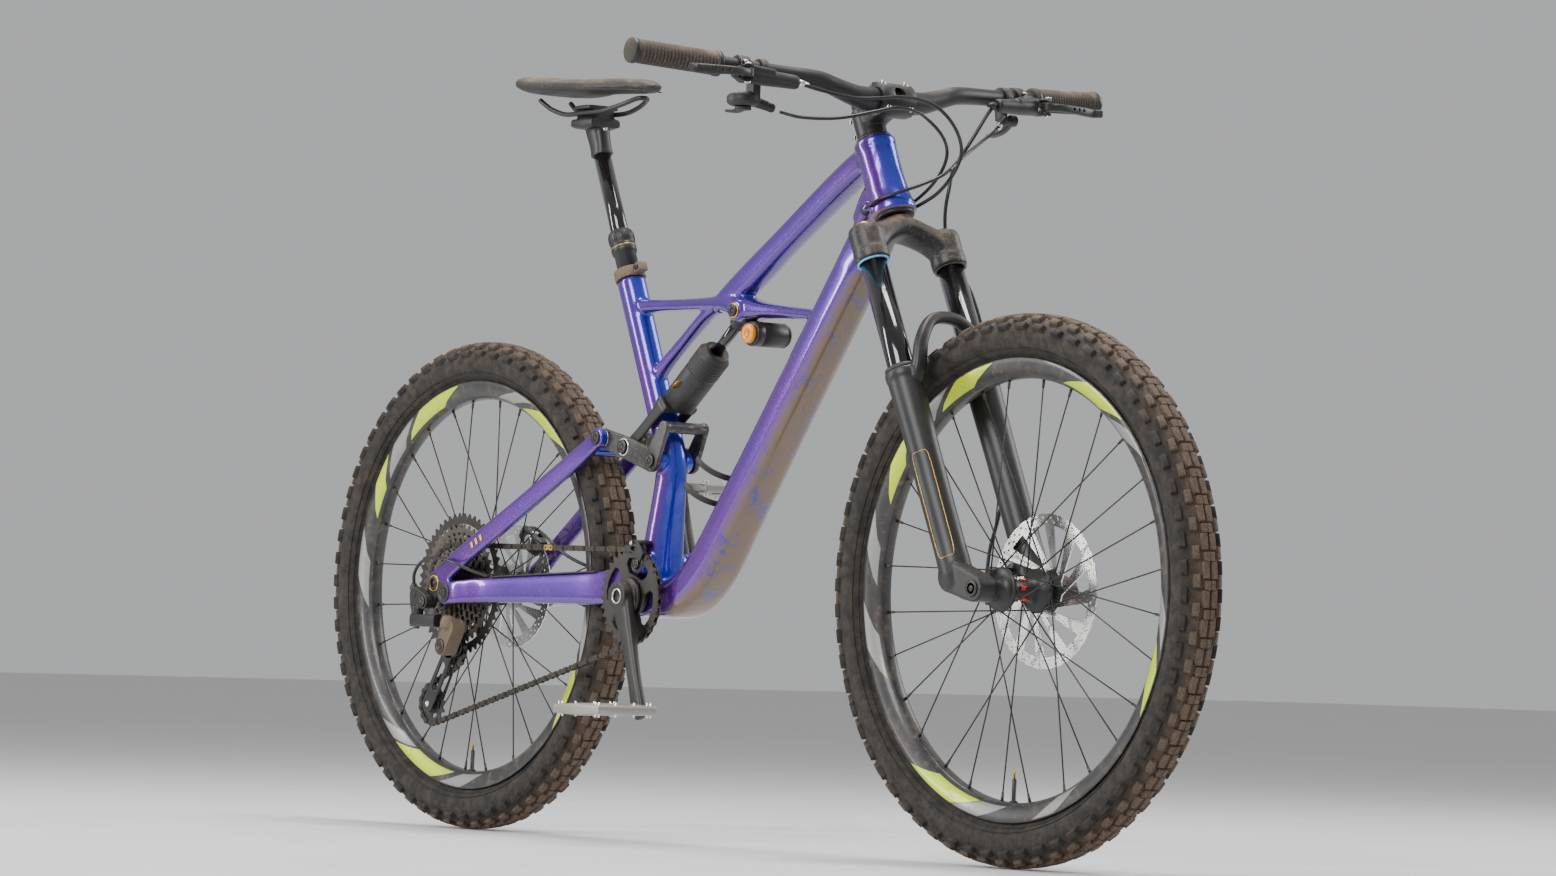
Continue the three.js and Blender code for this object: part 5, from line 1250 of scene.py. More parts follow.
def build_shifter():
    place = on_bar(206, -1)
    clamp = rod("clamp", on_bar(212, -1), on_bar(201, -1), 15.4, sides=40)
    pod = turned("pod", [(16, 0), (20, 2), (22, 5), (22, 12), (19, 15.5), (12, 17), (0.1, 17)],
                 place + Vector((-20, -12, -46)), place + Vector((-20, -12, -20)), 40)
    arm = block("arm", place + Vector((-8, -5, -24)), (8.5, 6, 14))
    barrel = rod("barrel", place + Vector((-18, 0, -38)), place + Vector((-12, 22, -44)), 7.5, 6.5)
    case = melted("shifter_case", [clamp, pod, arm, barrel], 1.1, 4)
    hollowed(case, bar_skin("bar_room", 0.5))
    keep(case, PLASTIC, "steering", ["shifter"])
    lid = turned("shifter_lid", [(13, -0.6), (13, 0.8), (11.8, 1.6), (0.1, 1.8)],
                 place + Vector((-20, -12, -29.2)),
                 place + Vector((-20, -12, -10)), 36)
    keep(lid, ALLOY, "steering")
    wheel = ring("shifter_barrel", [(2.7, 0), (5.6, 0), (6.2, 1), (6.2, 9), (4.8, 12), (2.7, 12)],
                 place + Vector((-13, 20, -43.6)), place + Vector((-7, 37, -49)), 16)
    keep(wheel, PLASTIC, "steering")
    pivot = place + Vector((-20, -12, -46.4))
    paddle = melted("shift_blade", [
        rod("hub", pivot - Vector((0, 0, 5)), pivot - Vector((0, 0, 0.1)), 10.8),
        loft("blade", [(pivot.x, pivot.y, pivot.z - 2.6, 7, 2.3),
                       (pivot.x - 26, pivot.y + 8, pivot.z - 4, 8, 2.3),
                       (pivot.x - 46, pivot.y + 14, pivot.z - 2, 8, 2.3)], power=3, count=30),
    ], 0.8, 3)
    keep(paddle, PLASTIC, "shift_paddle", ["shift_paddle"])


def build_remote():
    place = on_bar(210, 1)
    clamp = rod("clamp", on_bar(216, 1), on_bar(205, 1), 15.2, sides=40)
    arm = loft("arm", [beside(place, (3, -4, -12), 6, 10), beside(place, (4, -4, -31), 6, 9)],
               power=3, count=10)
    barrel = rod("barrel", place + Vector((10, -4, -30)), place + Vector((18, -19, -39.5)), 6.3, 5.2)
    case = melted("remote_case", [clamp, arm, barrel], 1.0, 4)
    hollowed(case, bar_skin("bar_room", 0.5))
    keep(case, PLASTIC, "steering", ["dropper_remote"])
    adjuster = ring("remote_barrel", [(2.7, 0), (4.4, 0), (5, 1), (4.6, 8), (2.7, 8)],
                    place + Vector((17.5, -18, -39)),
                    place + Vector((22, -26, -44)), 14)
    keep(adjuster, SILVER, "steering")
    pivot = place + Vector((8, 12, -30))
    blade = melted("dropper_blade", [
        rod("hub", pivot - Vector((0, 4.6, 0)), pivot + Vector((0, 5, 0)), 8),
        loft("blade", [(pivot.x - 2, pivot.y, pivot.z - 2, 4.6, 5),
                       (pivot.x - 22, pivot.y, pivot.z - 14, 7, 3),
                       (pivot.x - 44, pivot.y, pivot.z - 18, 9, 2.5)], power=3, count=30),
    ], 0.8, 3)
    keep(blade, PLASTIC, "dropper_paddle", ["dropper_paddle"])
    keep(bolt("remote_pivot_screw", pivot + Vector((0, 5, 0)), (0, 1, 0), 4.2, 2), SILVER, "dropper_paddle")


REAR_BRAKE_HOSE = [
    (928, -168, 1009), (934, -140, 1003), (944, -90, 996), (950, -50, 999), (951, -20, 1003),
    (951, 12, 1003),
    (955, 45, 994), (963, 68, 970), (970, 75, 940), (964, 70, 912), (948, 58, 885), (928, 46, 869),
    (906, 34, 857),
    (897, 24, 851),
]
SHIFT_CABLE = [
    (887, -168, 974.5), (907, -146, 968), (926, -100, 970), (941, -50, 982), (948, -20, 989),
    (948, 12, 987),
    (944, 38, 978), (952, 56, 958), (957, 61, 938), (952, 60, 917), (940, 53, 895), (920, 45, 876),
    (898, 34, 860),
    (889, 24, 854),
]
DROPPER_CABLE = [
    (915, 183, 980.8), (919, 174, 975), (923, 150, 960), (934, 115, 940), (950, 85, 925), (964, 50, 905),
    (960, 15, 889), (948, -12, 878), (928, -32, 867), (906, -34, 857), (896, -25, 851),
]
FRONT_BRAKE_HOSE = [
    (927.5, 166, 1009.4), (924, 157, 996), (914, 146, 970), (908, 132, 945), (914, 110, 922),
    (920, 98, 896),
    (917, 94, 860), (919, 96, 823), (938, 97, 790), (975, 97, 745), (1012, 96, 665), (1044, 95, 560),
    (1062, 84, 490), (1074, 66, 450), (1084, 45, 410), (1092, 33, 375),
]
REAR_BRAKE_LINE = [
    (58, 50, 437), (72, 42, 439), (100, 40, 428), (140, 43, 404), (190, 48, 386), (250, 46, 378),
    (310, 40, 381),
    (350, 38, 389), (378, 37, 395), (404, 32, 402), (424, 22, 404),
]
SHIFT_CABLE_REAR = [
    (120, -73, 366), (92, -84, 374), (66, -94, 384), (40, -97, 390), (10, -97, 391), (-18, -96, 384),
    (-36, -94, 368),
    (-37, -93, 350),
]


def build_hoses():
    at_head, at_fork, at_rear = ("steering", "frame"), ("steering", "fork_lowers"), ("chainstay",
        "seatstay")
    runs = [
        ("rear_brake_hose", REAR_BRAKE_HOSE, 2.5, 160, at_head, (960, 45, 980), (900, 30, 855)),
        ("shift_cable", SHIFT_CABLE, 2.3, 160, at_head, (950, 50, 970), (892, 30, 856)),
        ("dropper_cable", DROPPER_CABLE, 2.3, 120, at_head, (950, 85, 925), (900, -30, 853)),
        ("front_brake_hose", FRONT_BRAKE_HOSE, 2.5, 200, at_fork, (908, 132, 945), (1012, 96, 665)),
        ("rear_brake_line", REAR_BRAKE_LINE, 2.5, 120, at_rear, (200, 48, 386), (72, 42, 439)),
        ("shift_cable_rear", SHIFT_CABLE_REAR, 2.4, 80, at_rear, (100, -80, 370), (-18, -96, 384)),
    ]
    for node, points, radius, count, bodies, start, end in runs:
        keep_bent(tube(node + "_skin", points, radius, 16, count), HOSE, bodies, start, end, [node])
    ports = (("right", (905, -33.5, 856), (-1, 1.1, -0.6)), ("left", (905, 33.5, 857), (-1, -1.2, -0.6)))
    for tag, place, aim in ports:
        mouth = Vector(place) + Vector(aim).normalized() * 9
        port = turned("cable_port_" + tag, [(6.5, -1), (7.5, 0.5), (7.5, 5), (0.1, 5)], place, mouth, 24)
        keep(port, PLASTIC, "frame")


# ------------------------------------------------------------------ seat


def build_seat():
    lower = ring("dropper_tube", [(13.3, -60), (15.6, -60), (15.6, 40), (17.4, 42), (18.2, 46),
                                  (18.2, 54), (17.6, 55),
                                  (17.6, 57), (18.5, 58.5), (18.5, 70), (17.4, 73.5), (15.2, 74),
                                  (13.3, 74)],
                 on_seat(0), on_seat(100), 64)
    keep(lower, BLACK, "frame", ["dropper_lower_tube"])
    knurl = []
    for k in range(30):
        angle = 2 * math.pi * k / 30
        across = Vector((SEAT_UP.z, 0, -SEAT_UP.x)) * math.cos(angle) + Vector((0, 1, 0)) * math.sin(angle)
        knurl.append(rod("k", on_seat(59.6) + across * 18.2, on_seat(69.4) + across * 18.2, 0.75, sides=6))
    keep(merged("collar_knurl", knurl), BLACK, "frame")
    mark = ring("collar_gold_line", [(17.8, 0), (18.35, 0), (18.35, 1.2), (17.8, 1.2)], on_seat(50),
                on_seat(60), 64)
    keep(mark, GOLD, "frame")
    wiper = ring("dropper_wiper", [(12.9, 0), (16, 0), (14.6, 2.6), (12.9, 2.8)], on_seat(74),
                 on_seat(80), 48)
    keep(wiper, PLASTIC, "frame")
    collar = ring("seat_collar", [(16.4, 0.6), (21.6, 0.6), (22, 1.4), (22, 14.6), (21.2, 15.6),
                                  (16.4, 15.6)],
                  on_seat(0), on_seat(20), 64)
    ahead = Vector((SEAT_UP.z, 0, -SEAT_UP.x))
    ear = bevelled(block("ear", on_seat(8.4) + ahead * 26, (7, 8, 6.6), -23.2), 1.4)
    keep(merged("seat_collar_clamp", [collar, ear]), MUDDY, "frame", ["seat_clamp"])
    screw = bolt("seat_collar_screw", on_seat(8.4) + ahead * 27 + Vector((0, -7.6, 0)), (0, -1, 0), 4.2, 3)
    keep(screw, STEEL, "frame")

    keep(rod("dropper_stanchion", on_seat(-8), on_seat(200), 12.7, sides=64), GLOSS, "seatpost",
         ["seatpost_upper"])
    solids = [
        loft("post_head", [(267.5, 0, 967, 14.6, 14.8), (262, 0, 984, 13.4, 15.6),
                           (252, 0, 1012, 15, 19)], power=2.6),
        loft("cradle", [(224, 0, 1014, 26, 7), (249, 0, 1013, 27, 9), (274, 0, 1014, 26, 7)], power=4,
             count=20),
        block("core", (249, 0, 1026), (23, 16.5, 8)),
        loft("clamp_top", [(230, 0, 1035.6, 26, 3.2), (249, 0, 1036, 26.6, 3.6),
                           (268, 0, 1035.6, 26, 3.2)], power=5,
             count=12),
    ]
    keep(melted("post_head_forging", solids, 1.1, 4), BLACK, "seatpost")
    nuts = [bolt("n", (x, 0, 1008), (0, 0, -1), 4.2, 5) for x in (229, 271)]
    keep(merged("saddle_clamp_bolts", nuts), SILVER, "seatpost")
    half = [(150, 27, 1052), (164, 25, 1043), (178, 24, 1036), (208, 22, 1028), (249, 22, 1028),
            (292, 22, 1028),
            (330, 17, 1034), (358, 9, 1042), (364, 0, 1043)]
    rails = half + [(x, -y, z) for x, y, z in half[:-1][::-1]]
    keep(tube("saddle_rail", rails, 3.5, 16, 160), BLACK, "seatpost", ["saddle_rails"])

    stations = [
        (118, 0, 1077, 26, 6), (124, 0, 1076, 48, 10), (140, 0, 1074, 64, 13), (162, 0, 1071, 69, 14),
        (205, 0, 1067, 56, 13.5), (255, 0, 1064, 35, 13), (315, 0, 1061, 23, 13.5),
        (366, 0, 1057, 19, 12.5),
        (386, 0, 1054, 13, 9.5), (392, 0, 1052.5, 6, 5),
    ]
    shell = loft("saddle_skin", stations, power=2.5, sides=56, count=110)
    for vertex in shell.data.vertices:
        p = vertex.co / MM
        fade = max(0.0, min(1.0, (360 - p.x) / 60))
        middle = max(0.0, 1 - abs(p.y) / 9) * fade * max(0.0, min(1.0, (p.x - 118) / 40))
        if p.z > 1064:
            vertex.co.z -= 3.2 * middle * MM
        if p.z < 1062 - (p.x - 150) * 0.02:
            vertex.co.z += min(5.0, (1062 - p.z) * 0.45) * MM
    keep(shell, SADDLE, "seatpost", ["saddle"])
    seam = []
    for row in smooth_line(stations[1:-1], 90):
        seam.append((row[0], row[3] * 0.985, row[2] - 3.5))
    keep(merged("saddle_piping", both(tube("piping", seam, 0.9, 8, 120))), PLASTIC, "seatpost")


# ------------------------------------------------------------------ drivetrain


def pitch_radius(teeth):
    return CHAIN_PITCH / (2 * math.sin(math.pi / teeth))


def toothed(centre, teeth, start=0.0, tip=2.6, root=3.6):
    """The outline of a sprocket, with pointed teeth between round seats."""
    radius = pitch_radius(teeth)
    pattern = ((-0.50, -root), (-0.36, -root + 0.5), (-0.22, -0.4), (-0.09, tip), (0.09, tip), (0.22, -0.4),
               (0.36, -root + 0.5))
    points = []
    for k in range(teeth):
        for turn, rise in pattern:
            angle = start + 2 * math.pi * (k + turn) / teeth
            points.append((centre[0] + (radius + rise) * math.cos(angle),
                           centre[1] + (radius + rise) * math.sin(angle)))
    return points


def build_cassette():
    cogs = []
    for i, teeth in enumerate(COG_TEETH):
        y = CHAIN_Y + (RUNNING_COG - i) * COG_STEP
        radius = pitch_radius(teeth)
        inner = max(17, radius - 13)
        holes = []
        if teeth >= 24:
            arms = 7 if teeth > 30 else 6
            span = 360 / arms
            for k in range(arms):
                turn = span * k + i * 9
                window = [polar(REAR, inner, turn + span * f) for f in (0.10, 0.30, 0.50, 0.70, 0.86)]
                window += [polar(REAR, max(22, inner - 22), turn + span * f + 10) for f in (0.82, 0.5, 0.2)]
                holes.append(window)
        holes.append(circle(REAR, 16.5, 40))
        cogs.append(plate("cog", toothed(REAR, teeth, i * 0.1), y - 0.9, y + 0.9, holes))
    body = turned("cassette_core", [(16.4, 0), (22, 0.4), (22, 30), (19, 36), (17, 37), (16.4, 37)],
                  at(REAR, -36), at(REAR, -80), 48)
    keep(body, STEEL, "cassette")
    keep(merged("cassette_cogs", cogs[1:]), COGS, "cassette", ["cassette"], smooth=False)
    keep(merged("cassette_large_cog", cogs[:1]), STEEL, "cassette", smooth=False)
    lock = ring("cassette_lock_ring", [(15.6, 0), (18.6, 0), (18.6, 2), (15.6, 2)], at(REAR, -72.6),
                at(REAR, -80))
    keep(lock, RED, "cassette")


def chain_route():
    """The place (x, z) of every pin along the chain's centre line."""
    wheels = [(CRANK, pitch_radius(32), 1), (TENSION, pitch_radius(14), 1), (GUIDE, pitch_radius(12), -1),
              (REAR, pitch_radius(28), 1)]

    def tangent(a, b):
        heading = math.atan2(b[0][1] - a[0][1], b[0][0] - a[0][0])
        normal = heading + math.acos((a[1] * a[2] - b[1] * b[2]) / math.dist(a[0], b[0]))
        return [normal if w[2] > 0 else normal + math.pi for w in (a, b)]

    line = []
    for i, wheel in enumerate(wheels):
        enter = tangent(wheels[i - 1], wheel)[1]
        leave = tangent(wheel, wheels[(i + 1) % 4])[0]
        sweep = (leave - enter) % (2 * math.pi)
        if wheel[2] > 0:
            sweep -= 2 * math.pi
        for k in range(41):
            line.append(polar(wheel[0], wheel[1], math.degrees(enter + sweep * k / 40)))
    line = np.array(line + [line[0]])
    run = np.concatenate([[0], np.cumsum(np.linalg.norm(np.diff(line, axis=0), axis=1))])
    count = 2 * round(run[-1] / (2 * CHAIN_PITCH))
    spots = np.linspace(0, run[-1], count, endpoint=False)
    return [(np.interp(s, run, line[:, 0]), np.interp(s, run, line[:, 1])) for s in spots]


def add_prism(points, faces, outline, low, high):
    """Adds a prism across the bike, from a side-view outline, to the lists of a mesh."""
    base = len(points)
    for y in (low, high):
        points.extend((x, y, z) for x, z in outline)
    faces.extend(tuple(base + f for f in face) for face in grid_faces(2, len(outline)))


def link_plate(a, b):
    """The waisted outline of a chain's side plate, from pin a to pin b."""
    heading = math.atan2(b[1] - a[1], b[0] - a[0])
    reach = math.dist(a, b)
    end_radius, half_waist = 4.1, 2.9
    outline = []
    for centre, first, waist in ((0, math.pi / 2, -half_waist), (reach, -math.pi / 2, half_waist)):
        for k in range(7):
            angle = first + math.pi * k / 6
            outline.append((centre + end_radius * math.cos(angle), end_radius * math.sin(angle)))
        outline.append((reach / 2, waist))
    c, s = math.cos(heading), math.sin(heading)
    return [(a[0] + u * c - w * s, a[1] + u * s + w * c) for u, w in outline]


def build_chain():
    pins = chain_route()
    links, quick_link = ([], []), ([], [])
    gold_at = max(range(len(pins)), key=lambda i: (pins[i][1] > 395) * (400 - abs(pins[i][0] - 250)))
    gold_at -= gold_at % 2
    for i, pin in enumerate(pins):
        outline = link_plate(pin, pins[(i + 1) % len(pins)])
        inside, outside = (2.35, 3.3) if i % 2 == 0 else (1.3, 2.25)
        for side in (-1, 1):
            add_prism(*(quick_link if i == gold_at else links), outline,
                      CHAIN_Y + side * inside, CHAIN_Y + side * outside)
        add_prism(*links, circle(pin, 1.8, 8), CHAIN_Y - 3.7, CHAIN_Y + 3.7)
        add_prism(*links, circle(pin, 3.8, 10), CHAIN_Y - 1.2, CHAIN_Y + 1.2)
    ends = ("frame", "chainstay"), (436, CHAIN_Y, 350), (330, CHAIN_Y, 350)
    keep_bent(made("chain_links", *links), CHAIN, *ends, ["chain"])
    keep_bent(made("chain_quick_link", *quick_link), GOLD, *ends, [])


def crank_point(x, y, z):
    """A point of the crank's own axes, turned to where the right arm points."""
    c, s = math.cos(CRANK_TURN), math.sin(CRANK_TURN)
    return Vector((CRANK[0] + x * c - z * s, y, CRANK[1] + x * s + z * c))


def arm_point(side, y, z):
    """A point of one crank arm: y out from the centre plane, z up the arm towards the axle."""
    return crank_point(0, side * y, -side * z)


def build_crank():
    holes = [circle(CRANK, 22.5, 40)]
    for k in range(4):
        middle = 90 * k + 45 + math.degrees(CRANK_TURN)
        window = [polar(CRANK, 33, middle - 27), polar(CRANK, 46, middle - 33),
                  polar(CRANK, 53.5, middle - 27)]
        window += [polar(CRANK, 54.5, middle + d) for d in (-14, 0, 14)]
        window += [polar(CRANK, 53.5, middle + 27), polar(CRANK, 46, middle + 33),
                   polar(CRANK, 33, middle + 27),
                   polar(CRANK, 30.5, middle + 12), polar(CRANK, 30, middle),
                   polar(CRANK, 30.5, middle - 12)]
        holes.append(window)
    chain_ring = plate("ring", toothed(CRANK, 32, 0.03, tip=3.0), CHAIN_Y - 1.5, CHAIN_Y + 1.5, holes)
    keep(chain_ring, STEEL, "crank", ["chainring"], smooth=False).name = "chainring_plate"
    for side, tag in SIDES:
        stations = [(66, 14, 7, 16), (66, 4, 8, 19), (67, -22, 8, 17.5), (70, -70, 7.2, 13),
                    (75, -120, 6.2, 11.6), (79, -164, 6, 13), (79.5, -178, 5.6, 10.5), (79.5, -183, 4.4, 6)]
        rows = [(*arm_point(side, y, z), a, b) for y, z, a, b in stations]
        arm = loft("arm", rows, power=3.4, count=80)
        boss = rod("boss", arm_point(side, 56, 0), arm_point(side, 75.6, 0), 20)
        solids = [arm, boss]
        if side < 0:
            solids.append(rod("spider", crank_point(0, -58, 0), crank_point(0, -52.4, 0), 27))
        body = melted("crank_forging_" + tag, solids, 1.3, 4)
        end = arm_point(side, 90, 0)
        hollowed(body, rod("socket", arm_point(side, 70, 0), end, 11.5, sides=48))
        keep(body, CARBON, "crank", ["crank_arm_" + tag])
        lip = ring("axle_end_" + tag, [(8.5, 0), (11.4, 0), (11.4, 4.6), (9.6, 5), (8.5, 4.6)],
                   arm_point(side, 70.4, 0), end)
        keep(lip, SILVER, "crank")
        head, near, face, eye, far = [arm_point(side, y, -CRANK_LENGTH) for y in (72.6, 78, 85.2, 85.4,
            176)]
        keep(bolt("pedal_axle_end_" + tag, head, (0, -side, 0), 7.4, 1.0), STEEL, "crank")
        keep(rod("pedal_spindle_" + tag, near, far, 4.9), STEEL, "crank")
        flange = ring("pedal_flange_" + tag, [(5, 0), (8.5, 0), (8.5, 2), (5, 2)],
                      face, eye + Vector((0, side * 9, 0)))
        keep(flange, STEEL, "crank")
    keep(rod("crank_spindle", at(CRANK, -56), at(CRANK, 60), 14.4, sides=40), STEEL, "crank")

    outline = [(438, 402.5), (430, 400), (423, 408), (428, 416.5), (444, 418.6), (456, 413), (466, 400),
               (460, 388), (450, 394)]
    inner = [(425, 408), (428, 404), (458, 404), (452, 412), (444, 418), (430, 417)]
    pieces = [
        plate("g", outline, CHAIN_Y - 7, CHAIN_Y - 4.4,
              [[(437, 408), (444, 410), (452, 406), (448, 402), (440, 404)]],
              bevel=0.4),
        plate("g", inner, CHAIN_Y + 4.4, CHAIN_Y + 7, bevel=0.4),
        plate("g", [(424, 411), (452, 413.4), (444, 418.5), (430, 417.5)], CHAIN_Y - 7, CHAIN_Y + 20),
    ]
    keep(merged("chain_guide_frame", pieces), PLASTIC, "frame", ["chain_guide"])
    keep(bolt("chain_guide_screw", (440, CHAIN_Y - 6.8, 414), (0, -1, 0), 3, 2), SILVER, "frame")


def build_pedal(side, tag):
    cx = CRANK[0] - side * CRANK_LENGTH * math.sin(CRANK_TURN)
    cz = CRANK[1] + side * CRANK_LENGTH * math.cos(CRANK_TURN)
    low, high = sorted((side * 88.4, side * 187.6))
    solids = []
    for shift in (-48, 48):
        rows = [(cx + shift, low, cz, 4.4, 6.5), (cx + shift * 1.04, (low + high) / 2, cz, 4.2, 6.0),
                (cx + shift, high, cz, 4.4, 6.5)]
        solids.append(loft("bar", rows, side=(1, 0, 0), power=4, count=20))
    for y in (low + 4, (low + high) / 2, high - 4):
        solids.append(loft("rib", [(cx - 48, y, cz, 4.2, 6.4), (cx, y, cz, 4.6, 8.2),
                                   (cx + 48, y, cz, 4.2, 6.4)],
                           power=4, count=20))
    solids.append(rod("barrel", (cx, low, cz), (cx, high, cz), 8.8))
    body = melted("pedal_cage_" + tag, solids, 1.2, 3)
    hollowed(body, rod("bore", (cx, side * 80, cz), (cx, side * 181, cz), 5.4))
    keep(body, ALLOY, "pedal_" + tag, ["pedal_" + tag])
    pins = []
    for dx in (-46, -38, 38, 46):
        for y in (low + 6, low + 34, high - 34, high - 6):
            if abs(dx) == 38 and y in (low + 34, high - 34):
                continue
            pins.append(rod("pin", (cx + dx, y, cz - 10.4), (cx + dx, y, cz + 10.4), 1.5, sides=8,
                            chamfer=0.3))
    keep(merged("pedal_pins_" + tag, pins), SILVER, "pedal_" + tag)


def build_drivetrain():
    build_cassette()
    build_chain()
    build_crank()
    build_pedal(-1, "right")
    build_pedal(1, "left")
    normal = Vector((-0.8, 0, 0.6))
    strip = loft("strip", [(552, 0, 444.3, 6, 2), (566, 0, 463, 10, 2.6), (590, 0, 495, 9, 2.6),
                           (612, 0, 524.5, 9, 2.6),
                           (622, 0, 538, 6, 2)], power=4, count=40)
    solids = [strip]
    for x, z in ((570, 468.5), (596, 503.5)):
        centre = Vector((x, 0, z)) + normal * 39
        arm = []
        for turn in range(-100, 101, 20):
            a = math.radians(turn)
            arm.append((*(centre - normal * 39 * math.cos(a) + Vector((0, 39 * math.sin(a), 0))), 4.6, 1.9))
        solids.append(loft("hoop", arm, side=(0.6, 0, 0.8), power=3, count=60))
    cage = melted("bottle_cage_frame", solids, 1.0, 3)
    keep(cage, PLASTIC, "frame", ["bottle_cage"])
    screws = [bolt("s", Vector((x, 0, z)) + normal * 2, normal, 4.4, 2.4) for x,
              z in ((574, 473.6), (606, 516.4))]
    keep(merged("bottle_cage_screws", screws), SILVER, "frame")


# ------------------------------------------------------------------ derailleur


def cage_slot(start, end, half):
    """The outline of a slot in a cage plate, between two distances from the guide pulley."""
    along = Vector((TENSION[0] - GUIDE[0], 0, TENSION[1] - GUIDE[1])).normalized()
    across = Vector((-along.z, 0, along.x))
    a, b = at(GUIDE, 0) + along * start, at(GUIDE, 0) + along * end
    corners = [a + across * half, b + across * half, b + along * half * 0.7,
               b - across * half, a - across * half, a - along * half * 0.7]
    return [(c.x, c.z) for c in corners]


def build_derailleur():
    build_caliper("rear", REAR, 54, 90, 47, 64.8, 59.5, "seatstay")
    hanger, top = (-9, 328), (-30, 338)
    solids = [
        plate("b1", link_outline(hanger, 11, top, 12, 14), -97.4, -85),
        plate("b2", link_outline(top, 12, (-28, 323.6), 11.8, 14), -97.6, -86.2),
        loft("b3", [(-37, -93, 346, 7, 6), (-37, -93, 352, 5, 5)], power=2.4, count=6),
        rod("b4", (-28, -92, 309), (-28, -92, 322), 9),
    ]
    body = melted("derailleur_b_knuckle", solids, 0.9, 4)
    keep(body, BLACK, "seatstay", ["derailleur_body"])
    pin = rod("derailleur_link_pin", (-28, -92, 288.6), (-28, -92, 312), 3.6, chamfer=0.5)
    keep(pin, STEEL, "seatstay")
    screws = [bolt("m", at(hanger, -97.4), (0, -1, 0), 7.4, 2.2),
              bolt("n", at(top, -97.2), (0, -1, 0), 3.2, 1.6)]
    keep(merged("derailleur_mount_bolt", screws), STEEL, "seatstay")
    stop = turned("derailleur_cable_stop", [(4.4, 0), (4.4, 5), (3.4, 8), (0.1, 8)], (-37, -93, 347),
                  (-37, -93, 360), 18)
    keep(stop, STEEL, "seatstay")

    outer = loft("outer_link", [(-36, -96, 301, 4.4, 9.4), (0, -97.4, 300.6, 4.0, 9.0),
                                (25, -96, 300.4, 4.2, 8.4)], power=3.4)
    inner = loft("inner_link", [(-34, -88.4, 300.6, 2.6, 8.6), (20, -88, 300.6, 2.4, 8)], power=3.4)
    ends = [rod("e", (x, -92, 291.6), (x, -92, 310), 6.8) for x in (-29, 18)]
    arm = melted("derailleur_parallelogram", [outer, inner, *ends], 0.8, 3)
    keep(arm, BLACK, "derailleur_link", ["derailleur_link"])

    solids = [
        rod("barrel", at(CAGE_PIVOT, -88), at(CAGE_PIVOT, -64.2), 13.2, sides=48),
        plate("web", link_outline((44, 291), 12.5, CAGE_PIVOT, 13, 14), -88, -65),
        loft("horn", [(35.5, -92, 300, 5.6, 9), (44, -86, 298, 8, 10.5), (46, -76, 294, 8.5, 10.5)],
             side=(1, 0, 0),
             power=2.6, count=16),
    ]
    keep(melted("derailleur_p_knuckle", solids, 1.0, 5), MUDDY, "derailleur_knuckle",
         ["derailleur_knuckle"])
    cap = turned("cage_tension_cap", [(11, -0.5), (11, 1.2), (9.6, 2), (4, 2), (3.6, 0.6), (0.1, 0.6)],
                 at(CAGE_PIVOT, -88),
                 at(CAGE_PIVOT, -99), 32)
    keep(cap, STEEL, "derailleur_knuckle")

    long_half = link_outline(GUIDE, 11.5, TENSION, 13, 14)
    short_half = link_outline(CAGE_PIVOT, 13, GUIDE, 11.5, 14)
    inner_half = link_outline(GUIDE, 7, TENSION, 11.5, 14)
    outer_plate = [plate("w", long_half, -60.2, -57.6, [cage_slot(24, 66, 5.6)], bevel=0.5),
                   plate("w", short_half, -60.2, -57.6, bevel=0.5),
                   rod("stub", at(CAGE_PIVOT, -63.8), at(CAGE_PIVOT, -59), 9)]
    inner_plate = [plate("w", inner_half, -44.4, -42.6, [cage_slot(22, 68, 4.6)], bevel=0.5)]
    pins = [rod("p", at(p, -58), at(p, -43.4), 2.9) for p in (GUIDE, TENSION)]
    keep(merged("derailleur_cage_plates", outer_plate + inner_plate + pins), BLACK, "derailleur_cage",
         ["derailleur_cage"])
    heads = [bolt("h", at(p, -60.0), (0, -1, 0), 4.4, 1.6) for p in (GUIDE, TENSION)]
    keep(merged("pulley_bolts", heads), SILVER, "derailleur_cage")
    for tag, place, teeth in (("guide", GUIDE, 12), ("tension", TENSION, 14)):
        holes = [circle(place, 3.7, 16)]
        radius = pitch_radius(teeth)
        for k in range(5):
            middle = 72 * k
            holes.append([polar(place, radius - 8, middle + d) for d in (-20, 0, 20)]
                         + [polar(place, radius - 14, middle + d) for d in (18, 0, -18)])
        wheel = plate("t", toothed(place, teeth, 0.1, tip=2.4, root=4.0), CHAIN_Y - 1.1, CHAIN_Y + 1.1,
                      holes)
        core = ring("c", [(3.6, 0), (6.6, 0), (6.6, 5), (3.6, 5)], at(place, CHAIN_Y - 2.5),
                    at(place, CHAIN_Y + 3))
        whole = merged(tag + "_pulley_wheel", [wheel, core])
        keep(whole, PLASTIC, tag + "_pulley", [tag + "_pulley"], smooth=False)


# ------------------------------------------------------------------ floor, light and camera


